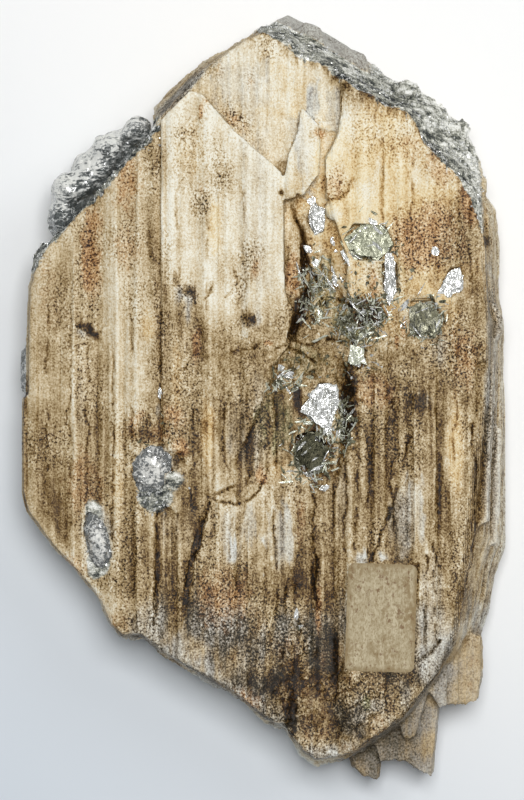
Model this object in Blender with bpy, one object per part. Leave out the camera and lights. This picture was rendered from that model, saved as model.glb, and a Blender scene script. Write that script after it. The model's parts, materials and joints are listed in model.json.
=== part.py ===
"""Spodumene crystal with grown-in quartz and muscovite and an aged paper label.

The crystal lies on its back face: its long axis runs along Y and its striated front face looks up.
Lengths below are millimetres, turned to metres where each mesh is made. The origin is the middle of
the underside.
"""

import math
import random

import bmesh
import bpy
from mathutils import Matrix, Vector, noise

MM = 0.001

# Driving dimensions
FRONT_Z = 39.0  # height of the front face's edge
PLATE_FOOT_Z = 30.0  # the front face's raised plates start here, inside the crystal
CLEAR_Z = 48.0  # every cutter that opens upwards ends here
UNDER_Z = -6.0  # every cutter that opens downwards ends here
GAP = 0.35  # clearance round each grown-in piece
SEED = 11

# The rim, anticlockwise: the widest outline (x, y, z), then the front face's edge (x, y)
RIM = [
    (-57.0, 35.0, 26, -54.5, 34.5), (-58.0, 27.0, 28, -57.0, 26.5), (-58.5, 12.5, 28, -57.5, 12.5),
    (-58.5, 0.5, 28, -57.5, 1.0), (-60.0, -1.0, 28, -59.0, -1.0), (-60.0, -23.0, 28, -59.0, -22.5),
    (-58.5, -28.5, 28, -57.5, -28.0), (-52.5, -37.0, 28, -51.5, -36.0), (-47.0, -42.5, 28, -46.0, -41.5),
    (-41.0, -50.0, 28, -40.5, -49.0), (-38.0, -57.0, 26, -37.0, -56.0), (-35.5, -60.0, 24, -34.5, -58.0),
    (-30.5, -60.0, 24, -30.0, -58.0), (-24.5, -65.0, 24, -24.0, -63.0), (-16.0, -70.0, 24, -15.5, -67.5),
    (-6.0, -75.5, 22, -6.0, -73.0), (0.0, -81.5, 20, 0.0, -78.0), (5.0, -83.0, 20, 5.0, -80.0),
    (7.5, -87.0, 18, 7.5, -83.5), (9.5, -90.5, 16, 10.0, -86.5), (12.5, -92.5, 16, 12.5, -88.5),
    (18.0, -91.5, 16, 17.5, -88.0), (22.5, -90.0, 16, 21.5, -87.0), (28.0, -87.0, 18, 25.5, -84.0),
    (36.0, -81.5, 20, 33.5, -78.5), (40.5, -76.0, 20, 37.5, -73.5), (45.0, -70.0, 20, 42.5, -67.0),
    (50.0, -65.0, 18, 44.5, -61.5), (54.0, -61.0, 14, 46.5, -56.5), (56.0, -54.5, 14, 47.0, -50.0),
    (57.5, -45.0, 14, 48.5, -41.5), (60.7, -37.5, 14, 49.5, -32.5), (60.7, -24.0, 14, 50.5, -23.0),
    (60.7, -14.0, 14, 51.5, -15.5), (60.5, -4.0, 14, 52.5, -6.0), (60.0, 6.0, 14, 54.0, 3.0),
    (60.0, 13.0, 14, 54.5, 11.5), (60.5, 18.0, 15, 54.5, 18.0), (59.0, 25.0, 15, 54.0, 24.0),
    (59.0, 38.0, 16, 53.0, 36.0), (58.0, 46.5, 18, 52.0, 47.0), (55.0, 51.5, 20, 51.0, 50.5),
    (54.0, 59.0, 18, 47.0, 55.0), (51.5, 64.5, 16, 43.5, 57.5), (49.0, 67.0, 16, 39.0, 62.0),
    (45.0, 72.5, 16, 37.0, 67.0), (40.5, 76.0, 16, 34.5, 70.0), (36.5, 77.0, 16, 30.0, 71.0),
    (33.5, 78.5, 16, 27.0, 73.5), (28.0, 83.0, 14, 23.5, 75.0), (20.5, 88.5, 14, 19.0, 78.0),
    (15.5, 91.5, 14, 13.5, 81.5), (9.0, 94.5, 14, 8.5, 84.0), (6.0, 96.0, 14, 3.5, 87.0),
    (-0.5, 92.5, 18, 0.0, 89.0), (-4.5, 89.5, 22, -4.5, 87.0), (-9.5, 86.5, 24, -9.0, 84.0),
    (-16.0, 82.5, 24, -14.0, 80.0), (-21.0, 78.5, 22, -18.0, 75.0), (-27.0, 73.0, 20, -24.5, 68.5),
    (-30.0, 68.5, 20, -27.5, 64.5), (-36.0, 62.0, 20, -33.5, 58.0), (-41.0, 56.5, 20, -38.0, 53.0),
    (-46.0, 50.5, 20, -42.5, 48.0), (-51.5, 43.5, 20, -48.5, 41.0),
]

# Levels of the front face as (x, z): the upper half, then the lower half
UPPER_LEVELS = [
    (-62, 32.5), (-54, 34.2), (-47, 35.2), (-40, 35.6), (-39.3, 37.2), (-33, 38.0), (-26, 38.4),
    (-10, 37.2), (4, 36.8), (6, 35.2), (15, 35.0), (20, 37.0), (36, 38.0), (53, 37.2), (64, 35.0),
]
LOWER_LEVELS = [
    (-62, 32.5), (-54, 34.4), (-47, 35.4), (-40, 35.6), (-39.3, 37.0), (-33, 37.8), (-26, 38.0),
    (-12, 38.6), (0, 38.0), (8, 36.8), (18, 36.6), (22, 38.4), (38, 39.0), (50, 38.2), (64, 36.0),
]
LEVELS_MEET_Y = (-4.0, 16.0)

# Raised plates of the front face: outline, height at the outline's middle, rise per mm along x and y
PLATES = {
    "left": dict(
        outline=[
            (-25.2, 67.8), (-21.5, 71.5), (-18.4, 74.8), (-15.0, 73.8), (-11.5, 69.7), (-7.8, 65.3),
            (-3.4, 61.3), (0.2, 58.4), (4.2, 55.0), (4.9, 48.0), (5.1, 26.0), (8.8, 16.3), (4.0, 10.0),
            (-3.0, -7.0), (-10.0, -21.0), (-17.0, -31.0), (-24.6, -26.0),
        ],
        height=39.9, rise=(-0.010, 0.026),
    ),
    "right": dict(
        outline=[
            (19.0, 80.0), (19.2, 70.0), (18.2, 65.0), (15.0, 58.5), (15.4, 50.5), (17.5, 43.0),
            (20.5, 33.0), (19.5, 22.0), (22.5, 14.0), (33.0, 12.5), (44.0, 10.0), (60.0, 8.0),
            (60.0, 60.0), (40.0, 72.0), (28.0, 82.0),
        ],
        height=39.7, rise=(-0.012, 0.010),
    ),
}
LENS = dict(
    outline=[
        (9.3, 70.8), (13.2, 66.6), (13.8, 60.5), (13.2, 54.4), (9.6, 49.4), (5.2, 48.2), (5.3, 55.0),
        (6.0, 59.3), (8.1, 64.2),
    ],
    height=40.2, rise=(-0.06, 0.012),
)

# Thin plates left standing at the broken base: outline, foot and top
BASE_PLATES = [
    ([(41.0, -58.0), (45.3, -58.0), (45.3, -76.4), (43.6, -76.8), (41.0, -73.0)], 5.0, 27.5),
    ([(44.8, -57.0), (48.2, -57.0), (48.2, -76.2), (44.8, -76.2)], 4.5, 25.5),
    ([(47.7, -56.0), (53.9, -60.0), (54.1, -70.0), (53.2, -75.6), (51.8, -76.4), (47.7, -76.4)], 4.0, 23.8),
    (
        [
            (27.0, -84.0), (28.7, -91.3), (31.7, -90.8), (34.7, -90.5), (38.0, -93.0), (42.0, -94.6),
            (42.8, -85.8), (43.7, -76.4), (41.5, -70.0), (30.0, -76.0),
        ],
        3.0, 21.0,
    ),
    ([(20.5, -84.0), (22.3, -92.7), (25.0, -94.7), (28.5, -96.0), (29.0, -91.0), (28.0, -84.0)], 2.0, 18.5),
    ([(33.0, -77.0), (34.5, -84.5), (37.5, -84.0), (40.5, -74.0)], 4.0, 27.0),
]

# Ledges along the right side, one above another: outline, foot and top
SIDE_LEDGES = [
    ([(48.0, -34.0), (55.4, -31.0), (56.4, -6.0), (56.8, 9.0), (50.0, 12.0)], 6.0, 31.5),
    ([(48.0, -40.0), (57.8, -36.5), (58.6, -24.0), (58.6, -8.0), (50.0, -2.0)], 6.0, 25.0),
    ([(50.0, 13.5), (57.6, 14.0), (58.6, 16.0), (58.6, 20.0), (57.0, 23.0), (50.0, 24.0)], 6.0, 29.0),
    ([(48.0, 26.0), (55.5, 27.0), (55.6, 45.0), (50.0, 47.0)], 6.0, 30.5),
]

# Steps broken out of the underside's edge: outline and height of the step
UNDER_STEPS = [
    ([(-70.0, -10.0), (-52.5, -8.0), (-51.5, -26.0), (-45.0, -36.0), (-60.0, -50.0), (-70.0, -30.0)], 9.0),
    ([(-40.0, -48.0), (-30.0, -52.0), (-14.0, -63.5), (-14.0, -80.0), (-45.0, -80.0)], 6.5),
    ([(52.5, -20.0), (52.0, 6.0), (54.0, 30.0), (70.0, 30.0), (70.0, -20.0)], 7.0),
    ([(30.0, 66.0), (18.0, 76.0), (6.0, 84.0), (10.0, 110.0), (50.0, 90.0)], 5.5),
    ([(-60.0, 30.0), (-49.0, 32.0), (-41.0, 45.0), (-28.0, 60.0), (-40.0, 75.0), (-70.0, 60.0)], 4.0),
]

# Cracks and slots of the front face: points of (x, y, width, depth) about a surface height
CRACKS = {
    "left_plate_edge": (39.0, [(-26.0, 67.0, 0.5, 0.6), (-26.0, 20.0, 0.5, 1.0), (-26.0, -25.0, 0.6, 1.0)]),
    "left_slot": (
        38.0,
        [
            (-26.0, -26.0, 0.7, 1.0), (-25.8, -36.0, 1.2, 2.8), (-25.9, -46.0, 1.4, 3.2),
            (-26.2, -55.0, 0.7, 1.2),
        ],
    ),
    "lower_fracture": (
        38.6,
        [
            (-3.0, -10.5, 0.8, 1.0), (-6.4, -21.5, 1.2, 1.6), (-12.8, -24.2, 1.0, 1.2),
            (-14.2, -28.4, 1.3, 1.8), (-17.4, -37.6, 1.4, 2.0), (-18.2, -44.0, 1.5, 2.2),
            (-20.6, -57.0, 0.8, 1.0),
        ],
    ),
    "upper_right": (
        39.0,
        [(19.4, 77.5, 0.6, 0.8), (19.1, 70.0, 0.8, 1.6), (18.0, 65.0, 0.8, 1.6), (15.0, 58.0, 1.0, 1.8)],
    ),
    "left_plate_right": (38.5, [(4.6, 54.0, 0.6, 1.0), (5.0, 46.0, 0.8, 1.4), (5.2, 30.0, 0.8, 1.4)]),
    "wing_edge": (36.2, [(-39.8, 44.0, 0.5, 0.6), (-39.8, 10.0, 0.6, 1.0), (-39.8, -53.0, 0.5, 0.8)]),
    "centre_gash": (
        37.0,
        [
            (8.2, 50.0, 1.0, 1.5), (9.2, 41.0, 2.4, 3.4), (9.6, 33.0, 3.0, 4.4), (9.8, 24.0, 3.2, 4.4),
            (8.0, 18.0, 2.8, 3.4), (5.5, 13.0, 1.0, 1.4),
        ],
    ),
    "valley": (
        37.6,
        [
            (13.0, 47.0, 1.6, 1.5), (15.0, 38.0, 3.6, 2.6), (16.5, 30.0, 5.0, 3.0), (19.0, 22.0, 6.0, 2.8),
            (17.0, 12.0, 6.0, 2.6), (19.5, 3.0, 5.0, 3.4), (19.8, -8.0, 3.6, 4.0), (18.0, -19.0, 2.0, 2.2),
            (16.4, -30.0, 0.8, 1.0),
        ],
    ),
    "under_blade": (
        37.4,
        [
            (12.4, -58.0, 0.7, 0.8), (12.8, -40.0, 1.2, 1.6), (12.4, -26.0, 1.2, 1.4),
            (12.0, -20.0, 0.7, 0.8),
        ],
    ),
    "right_slot": (38.8, [(42.8, 5.0, 0.6, 0.8), (42.6, -14.0, 0.8, 1.4), (42.0, -34.0, 0.6, 0.8)]),
    "base_crack": (38.6, [(42.4, -60.0, 0.6, 0.8), (39.6, -64.0, 1.0, 1.6), (36.8, -66.5, 0.6, 0.8)]),
}

# Pits of the front face: centre, radii and turn in degrees
PITS = [
    ((13.2, 74.4, 37.6), (1.1, 1.4, 1.6), 0), ((11.5, -13.5, 38.6), (5.6, 7.0, 3.4), 20),
    ((24.8, 18.5, 39.6), (6.0, 3.6, 2.6), 15), ((4.8, 5.5, 38.6), (3.6, 4.4, 1.6), 40),
    ((-22.5, -16.0, 39.2), (4.6, 3.4, 1.9), 15), ((33.0, 17.5, 40.0), (2.8, 3.6, 2.0), -20),
    ((6.5, -60.0, 38.6), (4.6, 3.0, 1.8), 35), ((5.6, -77.5, 37.4), (3.6, 4.4, 2.8), 0),
]

# Lumps and ledges raised on the crystal: centre, radii and turn in degrees
LUMPS = [
    ((27.8, 11.2, 37.8), (3.4, 4.2, 2.6), 10), ((17.4, 45.6, 37.8), (2.6, 3.2, 2.2), 30),
    ((16.6, 50.2, 37.8), (1.6, 2.8, 2.2), -10), ((13.4, 27.0, 35.0), (2.6, 5.6, 2.4), -20),
    ((10.6, 9.0, 35.6), (3.4, 4.2, 2.6), 30), ((47.0, 65.5, 19.0), (5.0, 4.0, 5.0), 45),
    ((35.5, 75.0, 24.0), (4.6, 3.4, 5.0), -35), ((22.0, 83.5, 22.0), (5.2, 3.4, 5.0), -35),
    ((11.5, 90.0, 22.0), (4.4, 3.6, 6.0), -35), ((-12.0, 81.5, 27.0), (6.0, 2.6, 6.0), 35),
    ((52.6, 53.5, 22.0), (3.0, 4.4, 6.0), 20), ((56.8, 17.0, 22.0), (2.6, 4.2, 7.0), 0),
]

# Quartz grown on the upper left edge, fused in one crust: centre and radii
QUARTZ_LUMPS = [
    ((-49.8, 44.6, 23.0), (3.8, 5.4, 8.0)), ((-47.2, 50.2, 18.0), (6.0, 5.6, 9.5)),
    ((-41.8, 56.2, 23.0), (5.0, 5.4, 8.5)), ((-36.8, 61.4, 19.0), (5.4, 5.0, 10.0)),
    ((-31.8, 66.0, 22.0), (3.6, 3.6, 8.0)), ((-48.6, 51.6, 27.5), (3.6, 4.0, 4.4)),
    ((-38.8, 61.0, 28.0), (3.8, 3.6, 5.0)), ((-43.6, 57.6, 13.0), (4.6, 4.0, 6.0)),
    ((-50.4, 46.4, 13.0), (3.6, 4.4, 5.4)), ((-44.4, 53.0, 28.4), (3.0, 3.4, 3.6)),
    ((-34.0, 63.6, 12.0), (3.6, 3.4, 4.6)), ((-40.0, 58.4, 18.0), (4.4, 4.2, 5.4)),
]
QUARTZ_BED = [
    (-70.0, 36.0), (-54.0, 37.6), (-49.0, 41.2), (-43.0, 48.2), (-38.4, 53.4), (-33.8, 58.2),
    (-28.2, 64.2), (-26.6, 68.0), (-30.0, 85.0), (-70.0, 80.0),
]
QUARTZ_BED_Z = 6.0

# Quartz grains let into the crystal: centre, radii and turn in degrees
QUARTZ_GRAINS = {
    "quartz_grain_left": ((-27.6, -17.6, 35.4), (5.4, 7.4, 4.2), -14),
    "quartz_grain_lower": ((-40.8, -35.6, 33.4), (3.4, 8.0, 4.2), 12),
    "quartz_sliver_edge": ((-58.75, 6.6, 21.0), (1.9, 6.2, 5.0), 0),
}

# Muscovite books: outline, foot, top, sheets, and lean in degrees about x and y
MUSCOVITE = {
    "muscovite_book_centre": (
        [
            (9.6, -3.3), (11.8, -5.4), (14.2, -6.8), (16.2, -7.0), (17.0, -3.8), (18.2, -1.3), (17.4, 2.1),
            (14.2, 2.8), (11.8, 0.4),
        ],
        34.2, 38.6, 6, (4, 8),
    ),
    "muscovite_book_lower": (
        [(8.0, -17.0), (11.0, -19.5), (14.4, -18.0), (14.8, -11.5), (12.2, -9.0), (8.2, -10.0)],
        33.8, 37.6, 5, (-4, 12),
    ),
    "muscovite_book_green": (
        [(20.0, 38.5), (22.2, 33.8), (27.8, 33.6), (31.4, 37.2), (29.6, 41.6), (22.0, 42.0)],
        36.4, 40.4, 5, (-3, 6),
    ),
    "muscovite_blade_right": (
        [(29.2, 32.2), (29.4, 27.0), (31.0, 24.2), (32.6, 26.4), (32.4, 32.4), (30.6, 33.0)],
        36.8, 40.2, 4, (2, -8),
    ),
    "muscovite_book_right": (
        [(36.0, 23.4), (36.2, 18.6), (38.2, 15.4), (42.0, 15.2), (43.6, 18.2), (41.2, 24.0)],
        37.2, 40.4, 4, (-5, 4),
    ),
    "muscovite_flake_right": (
        [(43.2, 26.1), (45.6, 24.6), (48.2, 26.1), (48.4, 29.8), (47.9, 31.5), (46.0, 31.0), (44.3, 28.6)],
        37.6, 40.0, 3, (-4, -5),
    ),
    "muscovite_flake_small": (
        [(21.0, 9.6), (22.2, 7.0), (24.8, 8.0), (24.6, 12.4), (21.6, 13.0)], 35.8, 38.4, 3, (5, -6),
    ),
    "muscovite_shard_upper": (
        [(11.3, 43.2), (12.6, 40.2), (14.4, 41.0), (14.6, 46.2), (11.8, 47.0)], 34.2, 37.4, 3, (8, 8),
    ),
}

# The paper label, glued to a flat stretch of the front face
LABEL_CENTRE = (28.7, -54.3)
LABEL_SIZE = (17.0, 26.5)
LABEL_THICK = 0.3
LABEL_CORNER = 2.0
LABEL_TURN = -2.0
LABEL_SEAT_Z = 38.4
LABEL_SEAT_MARGIN = 0.9

# name: base colour, roughness, metallic, transmission
FINISHES = {
    "spodumene": ((0.56, 0.46, 0.33), 0.55, 0.0, 0.0),
    "quartz": ((0.62, 0.63, 0.64), 0.18, 0.0, 0.4),
    "muscovite": ((0.50, 0.49, 0.42), 0.25, 0.2, 0.0),
    "aged paper": ((0.60, 0.50, 0.36), 0.9, 0.0, 0.0),
}


def clear_scene():
    for obj in list(bpy.data.objects):
        bpy.data.objects.remove(obj, do_unlink=True)


def material(name):
    made = bpy.data.materials.get(name)
    if made:
        return made
    colour, roughness, metallic, transmission = FINISHES[name]
    made = bpy.data.materials.new(name)
    made.use_nodes = True
    shader = made.node_tree.nodes["Principled BSDF"]
    shader.inputs["Base Color"].default_value = (*colour, 1.0)
    shader.inputs["Roughness"].default_value = roughness
    shader.inputs["Metallic"].default_value = metallic
    shader.inputs["Transmission Weight"].default_value = transmission
    return made


def object_of(name, points, faces, finish="spodumene"):
    """A mesh object from points in millimetres, its faces turned outwards."""
    mesh = bpy.data.meshes.new(name)
    mesh.from_pydata([Vector(p) * MM for p in points], [], faces)
    work = bmesh.new()
    work.from_mesh(mesh)
    bmesh.ops.recalc_face_normals(work, faces=work.faces)
    bmesh.ops.triangulate(work, faces=work.faces)
    work.to_mesh(mesh)
    work.free()
    mesh.materials.append(material(finish))
    obj = bpy.data.objects.new(name, mesh)
    bpy.context.collection.objects.link(obj)
    return obj


def stacked(name, rings, finish="spodumene"):
    """A closed solid through rings of equally many points, capped at both ends."""
    count = len(rings[0])
    points = [point for ring in rings for point in ring]
    faces = [list(range(count)), [len(points) - count + i for i in range(count)]]
    for low in range(0, len(points) - count, count):
        for i in range(count):
            j = (i + 1) % count
            faces.append([low + i, low + j, low + count + j, low + count + i])
    return object_of(name, points, faces, finish)


def boolean(target, other, operation):
    """Cuts, joins or intersects the target with a helper, which is then hidden."""
    step = target.modifiers.new(other.name, "BOOLEAN")
    step.operation = operation
    step.object = other
    step.solver = "EXACT"
    other.hide_render = True
    other.display_type = "WIRE"


def middle(outline):
    return (
        sum(x for x, _ in outline) / len(outline),
        sum(y for _, y in outline) / len(outline),
    )


def block(name, outline, foot, top, rise=(0.0, 0.0), finish="spodumene"):
    """A block over an outline, its top sloping about the outline's middle by rise per mm."""
    mid_x, mid_y = middle(outline)
    tops = [(x, y, top + (x - mid_x) * rise[0] + (y - mid_y) * rise[1]) for x, y in outline]
    return stacked(name, [[(x, y, foot) for x, y in outline], tops], finish)


def level_at(levels, x):
    """The height of a list of levels at x, straight between its points."""
    for (x0, z0), (x1, z1) in zip(levels, levels[1:]):
        if x <= x1:
            return z0 + (z1 - z0) * (x - x0) / (x1 - x0)
    return levels[-1][1]


def field_level(x, y):
    """The front face's height without its striations."""
    low, high = LEVELS_MEET_Y
    share = min(max((y - low) / (high - low), 0.0), 1.0)
    upper = level_at(UPPER_LEVELS, x)
    lower = level_at(LOWER_LEVELS, x)
    rough = 0.5 * noise.noise(Vector((x * 0.06, y * 0.05, 3.0)))
    return lower + (upper - lower) * share + rough


def striated(name, level, x_range, y_range, seed, step=0.45, rows=11):
    """A block whose top is laths along y: each keeps its own height for a while, then steps."""
    chance = random.Random(seed)
    edges = [x_range[0]]
    while edges[-1] < x_range[1]:
        edges.append(edges[-1] + chance.choice((1.6, 2.4, 3.2, 4.4, 5.6)))
    ys = [y_range[0] + (y_range[1] - y_range[0]) * row / rows for row in range(rows + 1)]
    wall = 0.12
    tops = []
    for left, right in zip(edges, edges[1:]):
        lift = chance.uniform(-step, step)
        side = []
        for y in ys:
            if chance.random() < 0.22:
                lift = chance.uniform(-step, step)
            side.append((lift, y + chance.uniform(-2.0, 2.0) * (y not in (ys[0], ys[-1]))))
        for x in (left + wall, right - wall):
            tops.append([(x, y, level(x, y) + lift) for lift, y in side])
    feet = [[(x, y, UNDER_Z) for x, y, _ in column] for column in tops]
    columns, deep = len(tops), len(ys)
    points = [point for column in tops + feet for point in column]
    below = columns * deep
    faces = []
    for c in range(columns - 1):
        for r in range(deep - 1):
            a = c * deep + r
            quad = [a, a + deep, a + deep + 1, a + 1]
            faces.append(quad)
            faces.append([below + i for i in reversed(quad)])
        for end in (0, deep - 1):
            a = c * deep + end
            faces.append([a, a + deep, below + a + deep, below + a])
    for start in (0, (columns - 1) * deep):
        for r in range(deep - 1):
            a = start + r
            faces.append([a, a + 1, below + a + 1, below + a])
    return object_of(name, points, faces)


def lump(name, centre, radii, turn=0.0, grow=0.0, detail=2, rough=0.16, finish="spodumene"):
    """A craggy lump. The same place gives the same crags, so a grown copy fits round it."""
    work = bmesh.new()
    bmesh.ops.create_icosphere(work, subdivisions=detail, radius=1.0)
    offset = Vector(centre) * 0.37
    turned = Matrix.Rotation(math.radians(turn), 3, "Z")
    points = []
    for vertex in work.verts:
        broad = noise.noise(vertex.co * 1.7 + offset)
        close = noise.noise(vertex.co * 4.0 + offset)
        crag = 1.0 + rough * (broad + 0.5 * close)
        local = Vector([vertex.co[i] * (radii[i] * crag + grow) for i in range(3)])
        points.append(turned @ local + Vector(centre))
    faces = [[vertex.index for vertex in face.verts] for face in work.faces]
    work.free()
    return object_of(name, points, faces, finish)


def groove(name, surface, path):
    """A V-shaped crack along a path of (x, y, width, depth), open upwards."""
    rings = []
    for i, (x, y, width, depth) in enumerate(path):
        before = Vector(path[max(i - 1, 0)][:2])
        after = Vector(path[min(i + 1, len(path) - 1)][:2])
        across = (after - before).orthogonal().normalized() * width / 2
        rings.append([
            (x, y, surface - depth),
            (x + across.x, y + across.y, surface),
            (x + across.x, y + across.y, CLEAR_Z),
            (x - across.x, y - across.y, CLEAR_Z),
            (x - across.x, y - across.y, surface),
        ])
    return stacked(name, rings)


def leaned(points, centre, lean):
    """Points turned about x, then about y, round a centre."""
    turn = Matrix.Rotation(math.radians(lean[1]), 3, "Y") @ Matrix.Rotation(math.radians(lean[0]), 3, "X")
    return [turn @ (Vector(point) - centre) + centre for point in points]


def book(name, outline, foot, top, sheets, lean):
    """Mica sheets in one stepped stack, each a little smaller than the one below."""
    mid_x, mid_y = middle(outline)
    centre = Vector((mid_x, mid_y, (foot + top) / 2))
    chance = random.Random(name)
    rings = []
    share = 1.0
    drift = Vector((0.0, 0.0))
    for sheet in range(sheets):
        low = foot + (top - foot) * sheet / sheets
        high = foot + (top - foot) * (sheet + 1) / sheets
        for z in (low, high):
            ring = [
                (mid_x + (x - mid_x) * share + drift.x, mid_y + (y - mid_y) * share + drift.y, z)
                for x, y in outline
            ]
            rings.append(leaned(ring, centre, lean))
        share *= chance.uniform(0.84, 0.93)
        drift += Vector((chance.uniform(-0.12, 0.12), chance.uniform(-0.12, 0.12)))
    return stacked(name, rings, "muscovite")


def book_socket(name, outline, foot, top, lean):
    """The hole for a book: its outline grown by the gap and open upwards."""
    mid_x, mid_y = middle(outline)
    centre = Vector((mid_x, mid_y, (foot + top) / 2))
    rings = []
    for z in (foot - GAP, CLEAR_Z):
        ring = []
        for x, y in outline:
            away = Vector((x - mid_x, y - mid_y))
            away *= 1.0 + 1.5 * GAP / away.length
            ring.append((mid_x + away.x, mid_y + away.y, z))
        rings.append(leaned(ring, centre, lean))
    return stacked(name, rings)


def lerp(a, b, share):
    return a + (b - a) * share


def crystal_rings():
    """The crystal's outline from its flat back to its front edge and on to where it is trimmed."""
    chance = random.Random(SEED)
    rings = [[], [], [], [], [], []]
    for x, y, z, front_x, front_y in RIM:
        back = (chance.uniform(0.88, 0.91), chance.uniform(0.92, 0.94))
        rings[0].append((x * back[0], y * back[1], 0.0))
        low = chance.uniform(0.955, 0.975)
        rings[1].append((x * low, y * (low + 0.01), z * 0.38))
        rings[2].append((x, y, z))
        share = chance.uniform(0.42, 0.62)
        mid_x = lerp(x, front_x, share - 0.08)
        mid_y = lerp(y, front_y, share - 0.08)
        rings[3].append((mid_x, mid_y, lerp(z, FRONT_Z - 3, share)))
        rings[4].append((front_x, front_y, FRONT_Z - 1))
        rings[5].append((front_x, front_y, CLEAR_Z))
    return rings


def rounded_label(extra, foot, top, name, finish):
    """The label's rounded outline as a thin block, grown by extra."""
    half_x = LABEL_SIZE[0] / 2 + extra
    half_y = LABEL_SIZE[1] / 2 + extra
    turn = math.radians(LABEL_TURN)
    outline = []
    for corner, (sign_x, sign_y) in enumerate(((1, 1), (-1, 1), (-1, -1), (1, -1))):
        for part in range(4):
            angle = math.radians(90 * corner + 30 * part)
            x = sign_x * (half_x - LABEL_CORNER) + LABEL_CORNER * math.cos(angle)
            y = sign_y * (half_y - LABEL_CORNER) + LABEL_CORNER * math.sin(angle)
            outline.append((
                LABEL_CENTRE[0] + x * math.cos(turn) - y * math.sin(turn),
                LABEL_CENTRE[1] + x * math.sin(turn) + y * math.cos(turn),
            ))
    return block(name, outline, foot, top, finish=finish)


def raised_plate(name, outline, height, rise, seed):
    """A plate of the front face, striated like the face under it."""
    mid_x, mid_y = middle(outline)

    def level(x, y):
        return height + (x - mid_x) * rise[0] + (y - mid_y) * rise[1]

    xs = [x for x, _ in outline]
    ys = [y for _, y in outline]
    plate = block(name, outline, PLATE_FOOT_Z, CLEAR_Z)
    x_range = (min(xs) - 3, max(xs) + 3)
    y_range = (min(ys) - 3, max(ys) + 3)
    laths = striated(f"{name}_laths", level, x_range, y_range, seed, 0.32, 8)
    boolean(plate, laths, "INTERSECT")
    return plate


def crystal():
    """The spodumene: outline, striated front, plates, broken base, cracks and pits."""
    body = stacked("spodumene_crystal", crystal_rings())
    trim = striated("front_striations", field_level, (-66, 66), (-104, 104), SEED, rows=16)
    for index, (name, plate) in enumerate(PLATES.items()):
        boolean(trim, raised_plate(f"plate_{name}", seed=SEED + index + 1, **plate), "UNION")
    lens = block("lens", LENS["outline"], PLATE_FOOT_Z, LENS["height"], LENS["rise"])
    boolean(trim, lens, "UNION")
    boolean(body, trim, "INTERSECT")
    for index, (outline, foot, top) in enumerate(BASE_PLATES):
        boolean(body, block(f"base_plate_{index}", outline, foot, top), "UNION")
    for index, (outline, foot, top) in enumerate(SIDE_LEDGES):
        boolean(body, block(f"side_ledge_{index}", outline, foot, top), "UNION")
    for index, (centre, radii, turn) in enumerate(LUMPS):
        boolean(body, lump(f"lump_{index}", centre, radii, turn, detail=1), "UNION")
    for index, (outline, top) in enumerate(UNDER_STEPS):
        boolean(body, block(f"under_step_{index}", outline, UNDER_Z, top), "DIFFERENCE")
    for name, (surface, path) in CRACKS.items():
        boolean(body, groove(f"crack_{name}", surface, path), "DIFFERENCE")
    for index, (centre, radii, turn) in enumerate(PITS):
        boolean(body, lump(f"pit_{index}", centre, radii, turn, detail=1), "DIFFERENCE")
    return body


def quartz_crust(body):
    """The quartz on the upper left edge, against a bed cut in the crystal."""
    boolean(body, block("quartz_bed", QUARTZ_BED, QUARTZ_BED_Z, CLEAR_Z), "DIFFERENCE")
    clear = [(x - GAP * 0.8, y + GAP * 0.8) for x, y in QUARTZ_BED[1:-2]]
    room = block("quartz_room", [(-72, 36.6), *clear, (-30, 85), (-72, 80)], QUARTZ_BED_Z + GAP, CLEAR_Z - 1)
    crust = None
    for index, (centre, radii) in enumerate(QUARTZ_LUMPS):
        name = f"quartz_lump_{index}" if crust else "quartz_crust"
        piece = lump(name, centre, radii, rough=0.3, finish="quartz")
        if crust:
            boolean(crust, piece, "UNION")
        else:
            crust = piece
    boolean(crust, room, "INTERSECT")


def grown_in_pieces(body):
    """Each grain and book, and the socket it sits in."""
    for name, (centre, radii, turn) in QUARTZ_GRAINS.items():
        lump(name, centre, radii, turn, rough=0.22, finish="quartz")
        boolean(body, lump(f"{name}_socket", centre, radii, turn, GAP, rough=0.22), "DIFFERENCE")
    for name, (outline, foot, top, sheets, lean) in MUSCOVITE.items():
        book(name, outline, foot, top, sheets, lean)
        boolean(body, book_socket(f"{name}_socket", outline, foot, top, lean), "DIFFERENCE")


def paper_label(body):
    """The label over its flat seat."""
    seat = rounded_label(LABEL_SEAT_MARGIN, LABEL_SEAT_Z, CLEAR_Z, "label_seat", "spodumene")
    boolean(body, seat, "DIFFERENCE")
    foot = LABEL_SEAT_Z + GAP
    rounded_label(0.0, foot, foot + LABEL_THICK, "paper_label", "aged paper")


def main():
    clear_scene()
    body = crystal()
    quartz_crust(body)
    grown_in_pieces(body)
    paper_label(body)


if __name__ == "__main__":
    main()
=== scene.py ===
"""Spodumene crystal with quartz and muscovite grown into it and an aged paper label.

Sizes are millimetres in the crystal's own frame: +Z out of the striated front face, +Y along the
length to the pointed end. They become metres where a mesh is made.
"""

import json
import logging
import math
from contextlib import contextmanager
from dataclasses import dataclass
from enum import Enum
from itertools import product
from typing import Any, Iterable, Iterator, NamedTuple, Sequence

import bmesh
import bpy
import numpy as np
from mathutils import Matrix, Vector
from mathutils.kdtree import KDTree

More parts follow.
